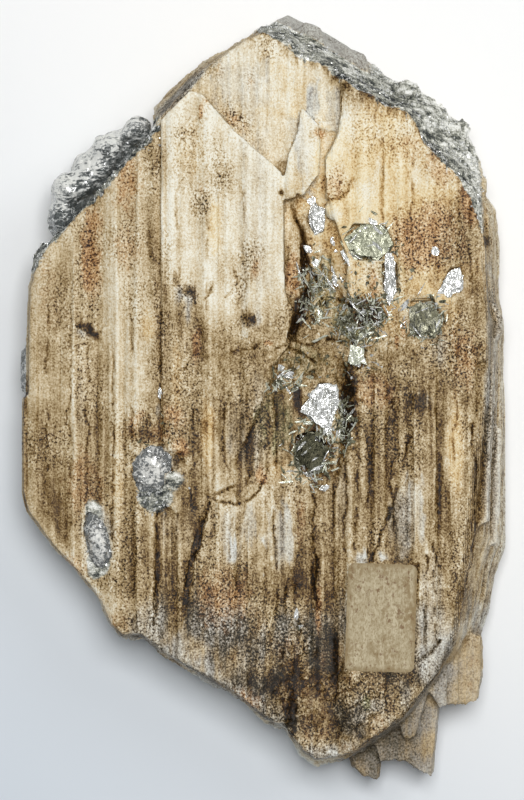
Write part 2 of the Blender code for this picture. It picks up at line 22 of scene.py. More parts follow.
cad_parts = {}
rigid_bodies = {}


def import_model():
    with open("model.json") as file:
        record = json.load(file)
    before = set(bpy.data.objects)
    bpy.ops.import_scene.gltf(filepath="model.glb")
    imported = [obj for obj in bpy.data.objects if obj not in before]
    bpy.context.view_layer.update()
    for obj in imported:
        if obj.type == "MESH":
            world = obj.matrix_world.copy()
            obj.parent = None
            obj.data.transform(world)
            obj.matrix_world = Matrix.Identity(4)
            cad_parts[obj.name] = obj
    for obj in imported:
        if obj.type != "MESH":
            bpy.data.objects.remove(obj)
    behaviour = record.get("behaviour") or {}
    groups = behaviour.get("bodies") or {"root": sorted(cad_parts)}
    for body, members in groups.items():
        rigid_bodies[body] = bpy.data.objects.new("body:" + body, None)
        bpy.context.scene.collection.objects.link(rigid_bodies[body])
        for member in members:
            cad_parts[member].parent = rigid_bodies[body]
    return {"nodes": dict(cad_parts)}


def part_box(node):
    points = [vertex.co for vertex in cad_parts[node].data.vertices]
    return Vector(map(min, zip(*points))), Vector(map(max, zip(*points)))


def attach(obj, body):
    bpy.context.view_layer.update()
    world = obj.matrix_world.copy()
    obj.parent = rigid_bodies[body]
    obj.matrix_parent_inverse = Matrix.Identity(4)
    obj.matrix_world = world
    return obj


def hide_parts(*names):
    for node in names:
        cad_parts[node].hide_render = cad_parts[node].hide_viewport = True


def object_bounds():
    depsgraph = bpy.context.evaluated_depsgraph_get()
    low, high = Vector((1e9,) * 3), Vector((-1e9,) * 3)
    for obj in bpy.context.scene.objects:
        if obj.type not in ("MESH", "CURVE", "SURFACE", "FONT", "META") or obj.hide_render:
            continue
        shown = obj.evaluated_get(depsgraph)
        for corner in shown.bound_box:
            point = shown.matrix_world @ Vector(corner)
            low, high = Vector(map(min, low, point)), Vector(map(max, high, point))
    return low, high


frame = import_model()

Array = np.ndarray
Point2 = tuple[float, float]
Point3 = tuple[float, float, float]
Sheet = tuple[Array, list[list[int]]]
# a layer of growth steps: its cell, its number of levels, its pattern and its reach
Steps = tuple[Point3, int, int, float]
LOG = logging.getLogger("spodumene")
CAD_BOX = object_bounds()
MM = 0.001


class Tone(Enum):
    """What has stained a patch: the grime it brings, and the masks that it adds to."""

    CREAM = (0.20, (("cream", 1.0),))
    TAN = (0.50, ())
    OLIVE = (0.52, (("olive", 1.0),))
    GREY = (0.45, (("grey", 1.0),))
    PALE = (0.10, ())
    RUST = (0.44, (("rust", 1.0), ("speck", 0.8)))
    UMBER = (0.74, ())
    SPECK = (0.0, (("speck", 1.0),))
    SOOT = (1.1, ())
    # soot is black manganese, and also painted shadow beside the central mica book
    FROST = (0.19, (("grey", 0.85),))

    def __init__(self, level: float, masks: tuple[tuple[str, float], ...]) -> None:
        """Keeps the grime at the middle of such a patch, and how strongly it adds to each mask."""
        self.level = level
        self.masks = masks


class Stain(NamedTuple):
    """A soft-edged patch: tone, middle, half sizes across and along, strength, and turn in degrees."""

    tone: Tone
    x: float
    y: float
    across: float
    along: float
    strength: float
    turn: float = 0.0


class Crack(NamedTuple):
    """A hairline crack or step edge: half width, depth and the points it runs through."""

    width: float
    depth: float
    path: tuple[Point2, ...]


class Patch(NamedTuple):
    """A zone of the front face: middle, half sizes, and how strong something is there."""

    x: float
    y: float
    across: float
    along: float
    amount: float

    def reach(self, points: Array) -> Array:
        """How far out each point lies, as a share of the half sizes."""
        local = (points[:, :2] - np.array((self.x, self.y))) / np.array((self.across, self.along))
        return np.hypot(local[:, 0], local[:, 1])


def patches(*rows: tuple[float, ...]) -> list[Patch]:
    """One patch for each row."""
    return [Patch(*row) for row in rows]


CREAM, TAN, OLIVE, GREY, PALE, RUST, UMBER, SPECK, SOOT, FROST = Tone

# the stains, and two patches of painted shadow, in the order they are laid
STAINS_AND_SHADOWS = [Stain(*row) for row in (
    # broad ground colours
    (CREAM, 30, 44, 26, 32, 0.75), (CREAM, 4, 76, 12, 12, 0.4), (TAN, 10, 6, 30, 10, 0.45),
    (GREY, 57, -6, 4, 60, 0.6),
    # the left wing
    (RUST, -42.5, 33, 3, 10.5, 0.9), (UMBER, -42.5, 34, 2.4, 9, 0.3), (RUST, -42, 43, 2.5, 5, 0.6),
    (SPECK, -43, 31, 3.5, 14.5, 0.9), (RUST, -53.5, 26, 3, 12.5, 0.3), (UMBER, -51, 24, 4, 7.5, 0.4),
    (GREY, -43.5, 16, 3, 2.5, 0.6), (SPECK, -45, 6.5, 3, 14.5, 0.6), (GREY, -45, -1, 2, 14.5, 0.35),
    (PALE, -47, 1, 0.5, 14.5, 0.5), (PALE, -46, -10, 1, 1.5, 0.5), (UMBER, -41, -8, 1, 19.5, 0.7),
    (RUST, -44, -21, 5.5, 10, 0.5), (UMBER, -43, -18, 2.5, 12.5, 0.4), (UMBER, -51, -30.5, 5, 7.5, 0.35),
    (RUST, -47.5, -41.5, 4.5, 3.5, 0.5, -30), (RUST, -33.5, 54, 4, 11, 0.5), (PALE, -37, 19, 3, 22, 0.35),
    (SPECK, -34, 38.5, 5, 7.5, 0.6), (RUST, -34, 37, 4.5, 6, 0.35), (UMBER, -27.5, 38.5, 1.5, 6, 0.7),
    (PALE, -31.5, 23.5, 3.5, 6, 0.35), (SPECK, -31.5, 23.5, 3.5, 7.5, 0.5), (CREAM, -28.5, 17.5, 2, 6, 0.4),
    (PALE, -31, 7, 1.5, 7.5, 0.4), (RUST, -31, -8, 3.5, 5.5, 0.6), (SPECK, -30.5, -8, 5, 6, 0.8),
    (UMBER, -31.5, -10.5, 2.5, 2.5, 0.5), (GREY, -26, -3.5, 1, 3, 0.6),
    # the raised plate and the ground beside it
    (PALE, -22.5, 46, 2.4, 24, 0.9), (PALE, -5.5, 39.5, 8.5, 22.5, 0.75), (CREAM, -18, 60.5, 5, 10, 0.35),
    (SPECK, -18, 60.5, 5.5, 11, 0.35), (TAN, -19.4, 64.2, 3.8, 1.3, 0.6), (SPECK, -19.4, 64.2, 4, 1.6, 0.9),
    (TAN, -15.4, 47.4, 2.6, 3, 0.5), (SPECK, -15.4, 47.4, 2.8, 3.4, 0.9), (TAN, -10, 53.5, 3.2, 5, 0.55),
    (SPECK, -10, 53.5, 3.2, 5, 0.7), (UMBER, -4.8, 58, 0.9, 3.4, 0.4), (TAN, -3.2, 34, 3.2, 5.5, 0.65),
    (SPECK, -3.2, 34, 3.2, 5.5, 0.7), (RUST, -6.6, 67, 5.5, 1.6, 0.5, -46),
    (SPECK, -6.2, 67.5, 7, 2.2, 0.9, -46), (UMBER, 0, 83.8, 0.7, 3.6, 0.5),
    (RUST, -3.4, 77.4, 1.2, 3.4, 0.55), (RUST, -11, 79.5, 1.1, 3.4, 0.55), (SPECK, -24, 33, 1.6, 9, 0.5),
    (TAN, -9, 31, 4, 4, 0.4), (UMBER, -18, 55.5, 1, 6, 0.3), (SPECK, -11.5, 58, 2.5, 6, 0.5),
    (RUST, -14.5, 71.5, 1.5, 2, 0.6), (RUST, -15.5, 69, 0.5, 2, 0.8), (CREAM, -12, 41, 2, 10, 0.5),
    (GREY, -14.5, 44.5, 2, 12.5, 0.25), (RUST, -15, 50.5, 1.5, 2.5, 0.35), (GREY, -18.8, 25, 3.4, 3.4, 0.7),
    (SPECK, -18.8, 25, 3.4, 3.4, 0.9), (GREY, -19, 20.5, 1.5, 4.5, 0.6), (RUST, -2, 31.5, 2, 3.5, 0.6),
    (GREY, -3, 18.5, 4, 2.5, 0.6), (SPECK, -6, 26, 2, 3.5, 0.7), (UMBER, -6, 25, 1, 3.5, 0.4),
    (RUST, 1, 13, 1.5, 1, 1), (UMBER, -15.5, 12, 2, 6.5, 0.7), (RUST, -16.5, 12.5, 1.5, 5.5, 0.6),
    (SPECK, -19.5, -1, 6, 14.5, 0.5), (CREAM, -21.5, 0.5, 2, 14.5, 0.4), (RUST, -22.5, -7, 3.5, 5.5, 0.7),
    (RUST, -20.5, -12.5, 2.5, 3, 0.9, 30), (SPECK, -22.5, -8, 4.5, 6, 0.8), (CREAM, -14, -8, 2, 12.5, 0.5),
    (UMBER, -2, 11, 5.5, 3, 0.45), (GREY, -1, -1, 5.5, 10.5, 0.45),
    # the fracture
    (PALE, 7.6, 33, 1.2, 6, 0.6), (UMBER, 9.5, 26, 3.5, 12.5, 0.6), (RUST, 7, 30, 2, 6.5, 0.7),
    (OLIVE, 15, 26, 5, 12.5, 0.5), (OLIVE, 25, 37, 4.5, 5, 0.8), (PALE, 29, 29.5, 5.5, 6, 0.6),
    (OLIVE, 31, 30, 6, 8, 0.35), (PALE, 20, 30, 4, 6, 0.45), (RUST, 27, 26.5, 1.3, 5, 0.6),
    (SPECK, 29, 29, 8, 9, 0.5), (RUST, 34.5, 16.5, 1, 3.5, 0.6), (GREY, 17, 14, 7, 5, 0.4),
    (PALE, 13.5, 38, 1.6, 5, 0.5), (OLIVE, 22, 18, 6, 6, 0.85), (OLIVE, 21.5, 19, 7, 3, 0.6),
    (UMBER, 13.5, 12.5, 5, 5, 0.4), (OLIVE, 10, 9, 9, 6, 0.4), (OLIVE, 20.5, -5, 3, 11, 0.7),
    (UMBER, 21, -4, 2.5, 10, 0.6), (UMBER, 9, -22, 5, 2, 0.6), (RUST, 32.5, 13.5, 0.5, 2, 1),
    (TAN, 28, 11.5, 3, 4, 0.8), (OLIVE, 39.5, 19, 3.5, 4, 0.8),
    # the upper right and the right side
    (SPECK, 40.5, 38.5, 12, 10, 0.95), (RUST, 40.5, 39.5, 11.5, 9, 0.7), (UMBER, 47, 36, 6, 7.5, 0.5),
    (RUST, 50.5, 47.5, 3.5, 6.5, 0.8), (CREAM, 34, 58, 10.5, 10, 0.7), (CREAM, 23.5, 56.5, 5, 5, 0.9),
    (RUST, 43, 56.5, 5, 6.5, 0.5, 30), (PALE, 37, 55, 2, 7.5, 0.5), (PALE, 26, 49.5, 2, 3.5, 0.6),
    (PALE, 18, 44.5, 2, 2, 0.9), (SPECK, 17.5, 52, 3.5, 4, 0.7), (RUST, 17.5, 52, 3.5, 4, 0.5),
    (PALE, 15, 72.5, 1.5, 6, 0.7), (PALE, 10, 68, 1.5, 5.5, 0.7), (PALE, 9, 58, 2.5, 8.5, 0.7, 12),
    (RUST, 13.5, 64.5, 2.5, 1.5, 0.6), (SPECK, 48, 11, 6, 10, 0.85), (RUST, 49.5, 10, 5.5, 8.5, 0.5),
    (UMBER, 53, 16.5, 2, 14.5, 0.45), (GREY, 43, 11.5, 3.5, 5, 0.4), (RUST, 26.5, 1, 7, 5.5, 0.5),
    (GREY, 38.5, -1, 4, 3.5, 0.6), (CREAM, 47, -13, 2.5, 15, 0.6), (UMBER, 43, -13, 0.5, 14.5, 0.8),
    (UMBER, 51.5, -20.5, 1, 15, 0.7), (GREY, 34, -31, 5, 10.5, 0.5), (FROST, 37.3, -28.5, 1.8, 7, 0.55),
    (UMBER, 27, -13, 6, 10, 0.4),
    # the lower face and the base
    (FROST, -8.2, -33.5, 2.4, 5.6, 0.36), (FROST, -7.4, -37.5, 1.1, 2.6, 0.85),
    (FROST, -3.2, -31.5, 1.6, 3.8, 0.45), (FROST, 4.2, -35, 3, 6.2, 0.55), (RUST, -0.5, -19.5, 2, 2.5, 0.9),
    (CREAM, 3, -17, 3.5, 5, 0.5), (UMBER, -7.5, -23, 5.5, 1.2, 0.5, 15), (UMBER, -18, -40, 3.5, 14.5, 0.6),
    (UMBER, -23, -42.5, 2.5, 13.5, 0.5), (PALE, -24.5, -35, 0.5, 10, 0.7), (RUST, -10, -49.5, 8, 9.5, 0.75),
    (RUST, -9.5, -45, 5, 3, 0.5), (SPECK, -9.5, -53, 10, 10, 0.9), (UMBER, 10, -38, 2, 12.5, 0.75),
    (RUST, 9, -31, 1.5, 7.5, 0.4), (GREY, 20, -25.5, 5.5, 14.5, 0.3), (UMBER, 11.5, -48, 1.5, 3.5, 0.5),
    (UMBER, 12.5, -45, 2, 9, 0.7), (UMBER, 9, -62, 2, 5, 0.5), (SPECK, 4, -60, 12.5, 12.5, 0.85),
    (UMBER, 2, -59.5, 11, 10, 0.55), (UMBER, 8, -68, 4.5, 12, 0.3), (RUST, 13.4, -54, 0.9, 9, 0.8),
    (OLIVE, 2, -57, 7, 9, 0.4), (RUST, -4, -74, 5, 3, 0.5, -30), (GREY, 3, -78, 3, 4, 0.5),
    (UMBER, 16, -75, 6, 10, 0.6), (RUST, 14, -64.5, 2.5, 5, 0.5), (SPECK, 26, -74.5, 11, 7.5, 0.9),
    (UMBER, 26, -74.5, 10, 6, 0.5), (OLIVE, 25, -75, 1.5, 2.5, 0.7), (PALE, -13.5, -63.5, 4, 2, 0.4, -40),
    (GREY, -12, -61.5, 5.5, 3.5, 0.4, -40), (CREAM, 40.5, -50.5, 1.5, 14.5, 0.4),
    (UMBER, 47, -50, 1.5, 10.5, 0.7), (GREY, 20, -85.5, 5, 3, 0.5), (UMBER, -33, -40, 6, 14.5, 0.3),
    (CREAM, -36, -20.5, 2, 22, 0.35), (SPECK, 33, 63, 7, 8, 0.5, 30), (GREY, -2, -8, 8, 12, 0.5),
    (UMBER, -4, -5, 2.5, 11, 0.35), (UMBER, 2, -12, 2.2, 8, 0.45), (UMBER, -2, -66, 9, 7, 0.5),
    # patches laid over the others
    (RUST, 36, 61, 5, 6, 0.35, 30), (SPECK, 25, 64, 5, 8, 0.5), (PALE, 5, 78, 5, 7, 0.5),
    (PALE, 13, 75, 5, 6, 0.5), (SPECK, 1, 86, 4, 3, 0.7), (PALE, 44, -45, 2, 12, 0.4),
    (GREY, 41, -48, 3.5, 13, 0.45), (GREY, -26, -20, 7, 9, 0.8), (UMBER, -26, -21, 7, 9, 0.6),
    (RUST, -25.5, -8.8, 5.5, 3, 0.8), (UMBER, -26, -8.5, 6.5, 3.2, 0.8), (RUST, -24, -9.5, 3, 1.6, 0.5),
    (GREY, -41, -35.4, 5, 9, 0.6), (UMBER, -9.5, -49, 8, 10, 0.4), (UMBER, 48, 42, 5, 9, 0.35),
    (UMBER, 24, -66, 3.5, 2.5, 0.7), (UMBER, 16, -54, 4, 9, 0.4), (TAN, -32, -54, 9, 5, 0.6, -30),
    (PALE, -37, -51, 6, 4, 0.4, -30), (FROST, 10, -79, 4, 4, 0.3), (FROST, 16, -84, 2.2, 2.6, 0.4),
    (OLIVE, 3, -6, 6, 12.5, 0.55), (TAN, -14, -55, 7, 5, 0.5), (UMBER, -2, -62, 4, 5, 0.5),
    (TAN, 8, -58, 4, 5, 0.5), (UMBER, 22, -71, 5, 3, 0.5), (TAN, 30, -71, 5, 3, 0.5, 40),
    (GREY, -14, -66, 5, 3, 0.6, -35), (UMBER, 15, -80, 8, 8, 0.7), (UMBER, 4, -71, 6, 6, 0.4),
    (FROST, 39.2, -48, 1.2, 7.5, 0.2), (FROST, 23.7, -39.4, 1.4, 1.5, 0.8),
    (FROST, 29.4, -39.5, 1.1, 1.5, 0.7), (GREY, 2, -62, 10, 9, 0.55), (GREY, -22, -30, 6, 12, 0.3),
    (FROST, 12, 71.7, 1.5, 4, 0.8), (FROST, 17, 70, 1.6, 5, 0.5), (FROST, -6, 76, 7, 6, 0.45),
    (FROST, -2.5, 44, 3.5, 22, 0.4), (FROST, 9.3, 60, 1.6, 8, 0.5, 12), (GREY, -21, 74.5, 2, 11, 0.9, -46),
    (UMBER, -22, 73.5, 1.6, 8, 0.5, -46),
    # manganese, which nothing covers, and painted shadow in the two narrow patches beside the central mica
    # book, at (8.8, -2.5) and (20.8, -3)
    (SOOT, -44, 17, 1.7, 0.8, 0.8, -25), (SOOT, -42, 15.2, 1, 0.7, 0.8), (SOOT, -59, -1, 0.5, 4, 0.7),
    (SOOT, -59, -20.5, 0.5, 14.5, 0.5), (SOOT, -18, 25.8, 1.5, 0.9, 0.8), (SOOT, -4, 19, 2, 1.1, 0.7),
    (SOOT, 3, 0, 2, 6.5, 0.3), (SOOT, 9.8, 35, 1, 4.5, 0.7), (SOOT, 8.8, 21, 1.3, 5.5, 0.8, -20),
    (SOOT, 25, 20.5, 4, 3.2, 0.75), (SOOT, 20.8, -3, 1.6, 8, 0.85), (SOOT, 12, -13.5, 4.2, 6, 0.75),
    (SOOT, 8.8, -2.5, 1, 5, 0.8, 15), (SOOT, 37.5, -1.5, 3, 2, 0.5), (SOOT, -3.5, -13.5, 0.8, 7.5, 0.45),
    (SOOT, -15.5, -31, 0.8, 7, 0.6, -12), (SOOT, -19, -48, 0.7, 10, 0.45), (SOOT, 6.9, -77, 0.9, 6.5, 1),
    (SOOT, 4, -67, 4, 5, 0.35), (SOOT, 13.2, -66, 0.6, 6.5, 0.75), (SOOT, 17.3, -65, 0.8, 5, 0.8),
    (SOOT, 2.6, -70.3, 3, 2.6, 0.6), (SOOT, 6.5, -78.5, 1.5, 3, 0.8), (SOOT, 1.5, -10, 0.8, 5, 0.5),
    (SOOT, 7.6, -68, 1.6, 4, 0.5), (SOOT, 8, -46.5, 3, 3, 0.45), (SOOT, 14, -63, 3.5, 4.5, 0.45),
    (SOOT, -21.8, 28, 0.5, 1.2, 0.6), (SOOT, -20.6, -14.5, 3.2, 1, 0.3, 30),
    (SOOT, -26.4, -42, 0.5, 12, 0.55), (SOOT, -26, -8.5, 6.5, 2.6, 0.25),
)]

# half width, depth and the points of each crack, step edge or open striation
CRACKS = [Crack(*row) for row in (
    (0.5, 0.5, ((14.2, 47), (16.9, 48.2), (19.9, 49.4), (21.6, 53.6))),
    (0.4, 0.5, ((19.6, 76), (19.3, 70), (17.5, 64), (15.7, 60.4))),
    (0.35, 0.35, ((5.6, 41.3), (5.9, 31), (5.6, 20.7))),
    (0.9, 1.3, ((4.2, 49.9), (6.6, 47), (8.8, 41.3), (10.3, 36.7), (9.6, 33))),
    (1, 1.4, ((12.5, 29.8), (14, 26.6), (10.3, 22.9), (9.3, 18.8), (6.9, 14.3))),
    (0.5, 0.8, ((13.2, 33), (15.7, 27.6), (18.9, 23.2))),
    (0.5, 0.7, ((10.3, 33), (11.8, 27.3), (16.2, 22.2), (20.6, 18.3))),
    (0.5, 0.8, ((6.9, 14.3), (11.3, 12.6), (16.7, 13.9), (21.6, 12.4))),
    (0.4, 0.6, ((1, 10.9), (4.7, 12.4), (8.8, 10.9), (13.2, 8.5))),
    (0.4, 0.6, ((18.9, 23.7), (23.5, 22.2), (26.5, 19.2), (25.7, 15.6))),
    (0.4, 0.6, ((21.6, 33), (20.4, 28.6), (22.1, 24.2))),
    (0.25, 0.2, ((-25.4, 22), (-25.3, 10), (-25.5, -1.3))),
    (0.35, 0.4, ((-32.4, 23.7), (-32.6, -5.8), (-32.4, -20))),
    (0.4, 0.6, ((-26.2, -28), (-26.4, -42), (-26.9, -56))),
    (0.3, 0.3, ((-48.1, 23.7), (-47.8, 8.9), (-48.3, -5.8), (-47.8, -25.4))),
    (0.3, 0.3, ((-43.6, 12.6), (-43.4, -5.8), (-43.6, -30.3))),
    (0.3, 0.35, ((-37.3, 13.9), (-37, -8.2), (-37.3, -35.2))),
    (0.3, 0.3, ((-53.2, 26.1), (-53.5, 4), (-53.2, -18))),
    (0.4, 0.4, ((-14.5, -24.6), (-10.3, -26.4), (-5.9, -26.1), (-2.9, -24.6), (-0.5, -22.7))),
    (0.4, 0.5, ((-0.5, -22.7), (1, -18), (0.5, -10.7))),
    (0.35, 0.45, ((11.8, -19.2), (12.3, -30.3), (11.8, -40.1), (12.3, -49.9))),
    (0.45, 0.7, ((12.8, -39.1), (12.9, -49.9), (12.6, -63.8))),
    (0.3, 0.4, ((17.9, -73), (25, -69.5), (31.9, -64.1))),
    (0.3, 0.4, ((21.3, -76.4), (28.4, -73), (35.3, -67.8))), (0.3, 0.4, ((15.2, -69.5), (20.6, -66))),
    (0.3, 0.4, ((22.3, -81.8), (28.4, -77.4), (33.6, -72.2))),
    (0.45, 0.6, ((-13.7, -26), (-15.5, -33), (-18.5, -42), (-20.3, -50))),
    (0.5, 0.8, ((17.7, -59.7), (17.9, -67.6), (17.2, -75.4))),
    (0.35, 0.5, ((8.8, -54.8), (8.3, -64.6), (7.1, -74.4), (6.4, -79.8))),
    (0.4, 0.6, ((5.1, -45), (5.6, -54.8), (4.7, -66.6))),
    (0.3, 0.4, ((20.1, -8.2), (19.9, -30.3), (20.1, -59.7))),
    (0.3, 0.3, ((22.8, -0.9), (23, -20.5), (22.8, -39.1))),
    (0.3, 0.3, ((25, -3.3), (25.3, -20.5), (25, -39.1))),
    (0.3, 0.35, ((31.6, -0.9), (31.4, -18), (31.6, -38.1))),
    (0.5, 0.5, ((36.3, -9.9), (34.3, -17.5), (32.1, -25.4), (29.2, -33.2), (26, -40.6))),
    (0.35, 0.5, ((39.7, -39.1), (39.7, -52.4), (39.5, -62.2))),
    (0.35, 0.5, ((42.2, -35.2), (41.9, -49.9), (42.2, -60.2))),
    (0.35, 0.4, ((50.8, 48.2), (50.5, 35.9), (50.8, 23.7))),
    (0.3, 0.3, ((46.8, 16.3), (47.1, -0.9), (46.8, -18))),
    (0.3, 0.3, ((36.3, 35.9), (36, 45.7), (36.3, 58))),
    (0.3, 0.3, ((29.2, 62.9), (29.4, 53.1), (29.2, 42.8))),
    (0.5, 0.6, ((51.5, -3.3), (51.7, -18), (51.5, -35.2), (50, -47.4))),
    (0.5, 0.8, ((43.2, -59.7), (40.2, -62.6), (36.8, -65.6))),
    (0.4, 0.4, ((-23.5, 4), (-20.1, 6), (-16.7, 10.9), (-15.9, 16.3))),
    (0.4, 0.4, ((-12.5, 13.9), (-7.8, 10.9), (-2.2, 11.9), (2, 14.3))),
    (0.4, 0.4, ((-9.6, 24.2), (-6.6, 28.3), (-7.4, 31))),
    (0.4, 0.4, ((-14.5, 23.7), (-12.8, 25.6), (-12.5, 28.1))),
    (0.2, 0.12, ((-21.1, 67.8), (-21.1, 48.2), (-20.8, 23.7))),
    (0.2, 0.12, ((-14, 56.8), (-13.7, 38.4), (-14, 21.2))),
    (0.2, 0.12, ((-5.1, 50.6), (-5.1, 35.9), (-4.9, 23.7))),
    (0.3, 0.3, ((-17.7, -3.3), (-17.4, -18), (-17.9, -32.7))),
    (0.3, 0.35, ((-9.3, -0.9), (-9.6, -13.1), (-9.3, -23.9))),
    (0.3, 0.3, ((-4.2, 0.4), (-3.9, -10.7), (-4.2, -21.5))),
    (0.35, 0.4, ((2.9, 0.4), (3.2, -18), (2.7, -38.1), (3.2, -54.8))),
    (0.3, 0.3, ((7.8, -25.4), (8.1, -40.1), (7.8, -52.4))),
    (0.3, 0.3, ((16.9, -18), (16.9, -35.2), (17.2, -49.9))),
)]

# crumbled hollows of the front face: middle, radius and depth
HOLLOWS = [
    ((4.8, 5.5), 4.2, 0.8), ((-22.5, -16.0), 4.4, 0.6), ((6.5, -60.0), 4.4, 0.8), ((5.6, -77.5), 4.0, 1.1),
]

# the part of the front face whose steps weather has rounded off, and the deep central fracture
WORN = Patch(38, 12.5, 19, 9, 1)
FRACTURE = Patch(16, 14, 15, 40, 1)

# where grains of quartz crumble into the front face
GRAINY = patches(
    (-26.8, -24.6, 5, 4.6, 1), (-22, -20.5, 3.4, 3.2, 0.8), (-41, -41.4, 3.4, 4, 1),
    (-42, -28.6, 2.6, 3.4, 0.8),
)

# where the front face is broken up, and how far in millimetres
ROUGH = patches(
    (12, 42, 4.5, 12, 0.7), (14, 26, 9, 13, 1), (19, 18, 12, 10, 1.1), (17, 4, 9, 12, 1.1),
    (18, -8, 6, 12, 0.9), (12, -14, 8, 7, 0.7), (28, 14, 13, 8, 0.7), (34, 22, 12, 8, 0.5),
    (-2, 12, 24, 7, 0.55), (-24, 4, 14, 8, 0.35), (-26, -16, 9, 10, 0.35), (-42, 15.5, 6, 4, 0.5),
    (8, -76, 11, 12, 0.7), (20, -82, 14, 7, 0.5), (48, 20, 8, 30, 0.25), (-30, -56, 20, 8, 0.3),
    (14, 66, 4, 14, 0.35),
)

# the grime of the ground, patch over patch
GROUNDS = patches(
    (-48, 20, 11, 32, 0.37), (-33, 24, 6.5, 34, 0.27), (-10, 42, 16, 26, 0.14), (4, 72, 17, 17, 0.12),
    (-18, 68, 10, 9, 0.16), (-34, 52, 6.5, 12, 0.27), (30, 57, 21, 15, 0.05), (40, 34, 15, 13, 0.48),
    (-6, 8, 19, 10, 0.44), (-40, -30, 14, 24, 0.48), (-3, -22, 15, 22, 0.44), (-24, -44, 14, 14, 0.5),
    (-10, -54, 16, 12, 0.68), (0, -68, 20, 12, 0.66), (22, -78, 16, 9, 0.7),
)

# crests with painted highlight, lines painted pale where light catches them: the raised plate's left edge,
# the front's lower right edge and others
CRESTS = [
    ((-25.9, 65.0), (-25.8, 40.0), (-25.9, 22.0)),
    ((-25.1, 65.0), (-24.9, 40.0), (-25.1, 22.0)),
    ((42.2, -63.0), (37.3, -71.6), (32.1, -77.8), (26.5, -83.2)),
    ((14.2, -33.0), (14.4, -42.0), (14.2, -50.0)),
    ((24.0, -8.0), (24.1, -38.0)),
    ((-9.0, -29.0), (-9.3, -44.0)),
    ((-39.2, 48.0), (-39.2, 8.0)),
]

# the front face's edge along the quartz on the upper left
CRUST_EDGE = [(-57.5, 34.0), (-56.0, 36.5), (-50.0, 42.6), (-40.2, 51.2), (-32.9, 59.6), (-26.5, 65.8)]

# where blades of mica stand on edge
BLADE_ZONES = patches(
    (23.5, 18.8, 7, 6.5, 1), (12.5, 25, 4.5, 10, 0.7), (12, -14, 7.5, 8, 1), (19.5, -6, 3, 8, 0.7),
    (4.7, 3.6, 4.5, 3.5, 0.7), (40, 19, 5.5, 6, 0.9), (26, 37.5, 7.5, 6.5, 0.25), (31, 24, 3.5, 6, 0.6),
)

# where loose mica flakes lie, and how thickly
FLAKE_ZONES = patches(
    (24, 18, 7, 8, 1), (19, 26, 5, 9, 0.8), (31, 30, 5, 10, 0.6), (15, 30, 4, 14, 0.45), (22, 8, 8, 6, 0.7),
    (12, -13, 7, 7, 0.8), (39, 18, 6, 5, 0.6), (9, 7, 7, 6, 0.4), (19, -8, 4, 9, 0.5), (9, -54, 4, 5, 0.4),
    (-26, -12, 6, 8, 0.15),
)

# the front face's edge round the upper right, past which the rind begins
RIND_EDGE = [
    (-2.0, 90.0), (0.0, 89.0), (3.5, 87.0), (8.5, 84.0), (13.5, 81.5), (19.0, 78.0), (23.5, 75.0),
    (27.0, 73.5), (30.0, 71.0), (34.5, 70.0), (37.0, 67.0), (39.0, 62.0), (43.5, 57.5), (47.0, 54.0),
    (51.0, 47.0), (54.0, 38.0),
]

# the seat that the label lies in, and how it is turned
LABEL_MIDDLE = (28.7, -54.3)
LABEL_HALF = (8.5, 13.25)
LABEL_TURN = -2.0


def smoothstep(low: float, high: float, value: Array) -> Array:
    """An S-shaped ramp from 0 at low to 1 at high; low may be the larger of the two."""
    share = np.clip((value - low) / (high - low), 0.0, 1.0)
    return share * share * (3.0 - 2.0 * share)


def turned(points: Array, middle: Point2, degrees: float) -> Array:
    """Points in the axes of something that stands at middle and is turned by degrees."""
    angle = math.radians(degrees)
    offset = points[:, :2] - np.asarray(middle, float)
    along = np.array([[math.cos(angle), -math.sin(angle)], [math.sin(angle), math.cos(angle)]])
    return offset @ along


def path_distance(points: Array, path: Sequence[Point2]) -> Array:
    """The distance of each point, seen from above, to a line through the path's points."""
    nearest = np.full(len(points), 1e9)
    for start, end in zip(path, path[1:]):
        a, b = np.asarray(start, float), np.asarray(end, float)
        run = b - a
        share = np.clip((points[:, :2] - a) @ run / max(run @ run, 1e-9), 0.0, 1.0)
        gap = points[:, :2] - (a + share[:, None] * run)
        nearest = np.minimum(nearest, np.hypot(gap[:, 0], gap[:, 1]))
    return nearest


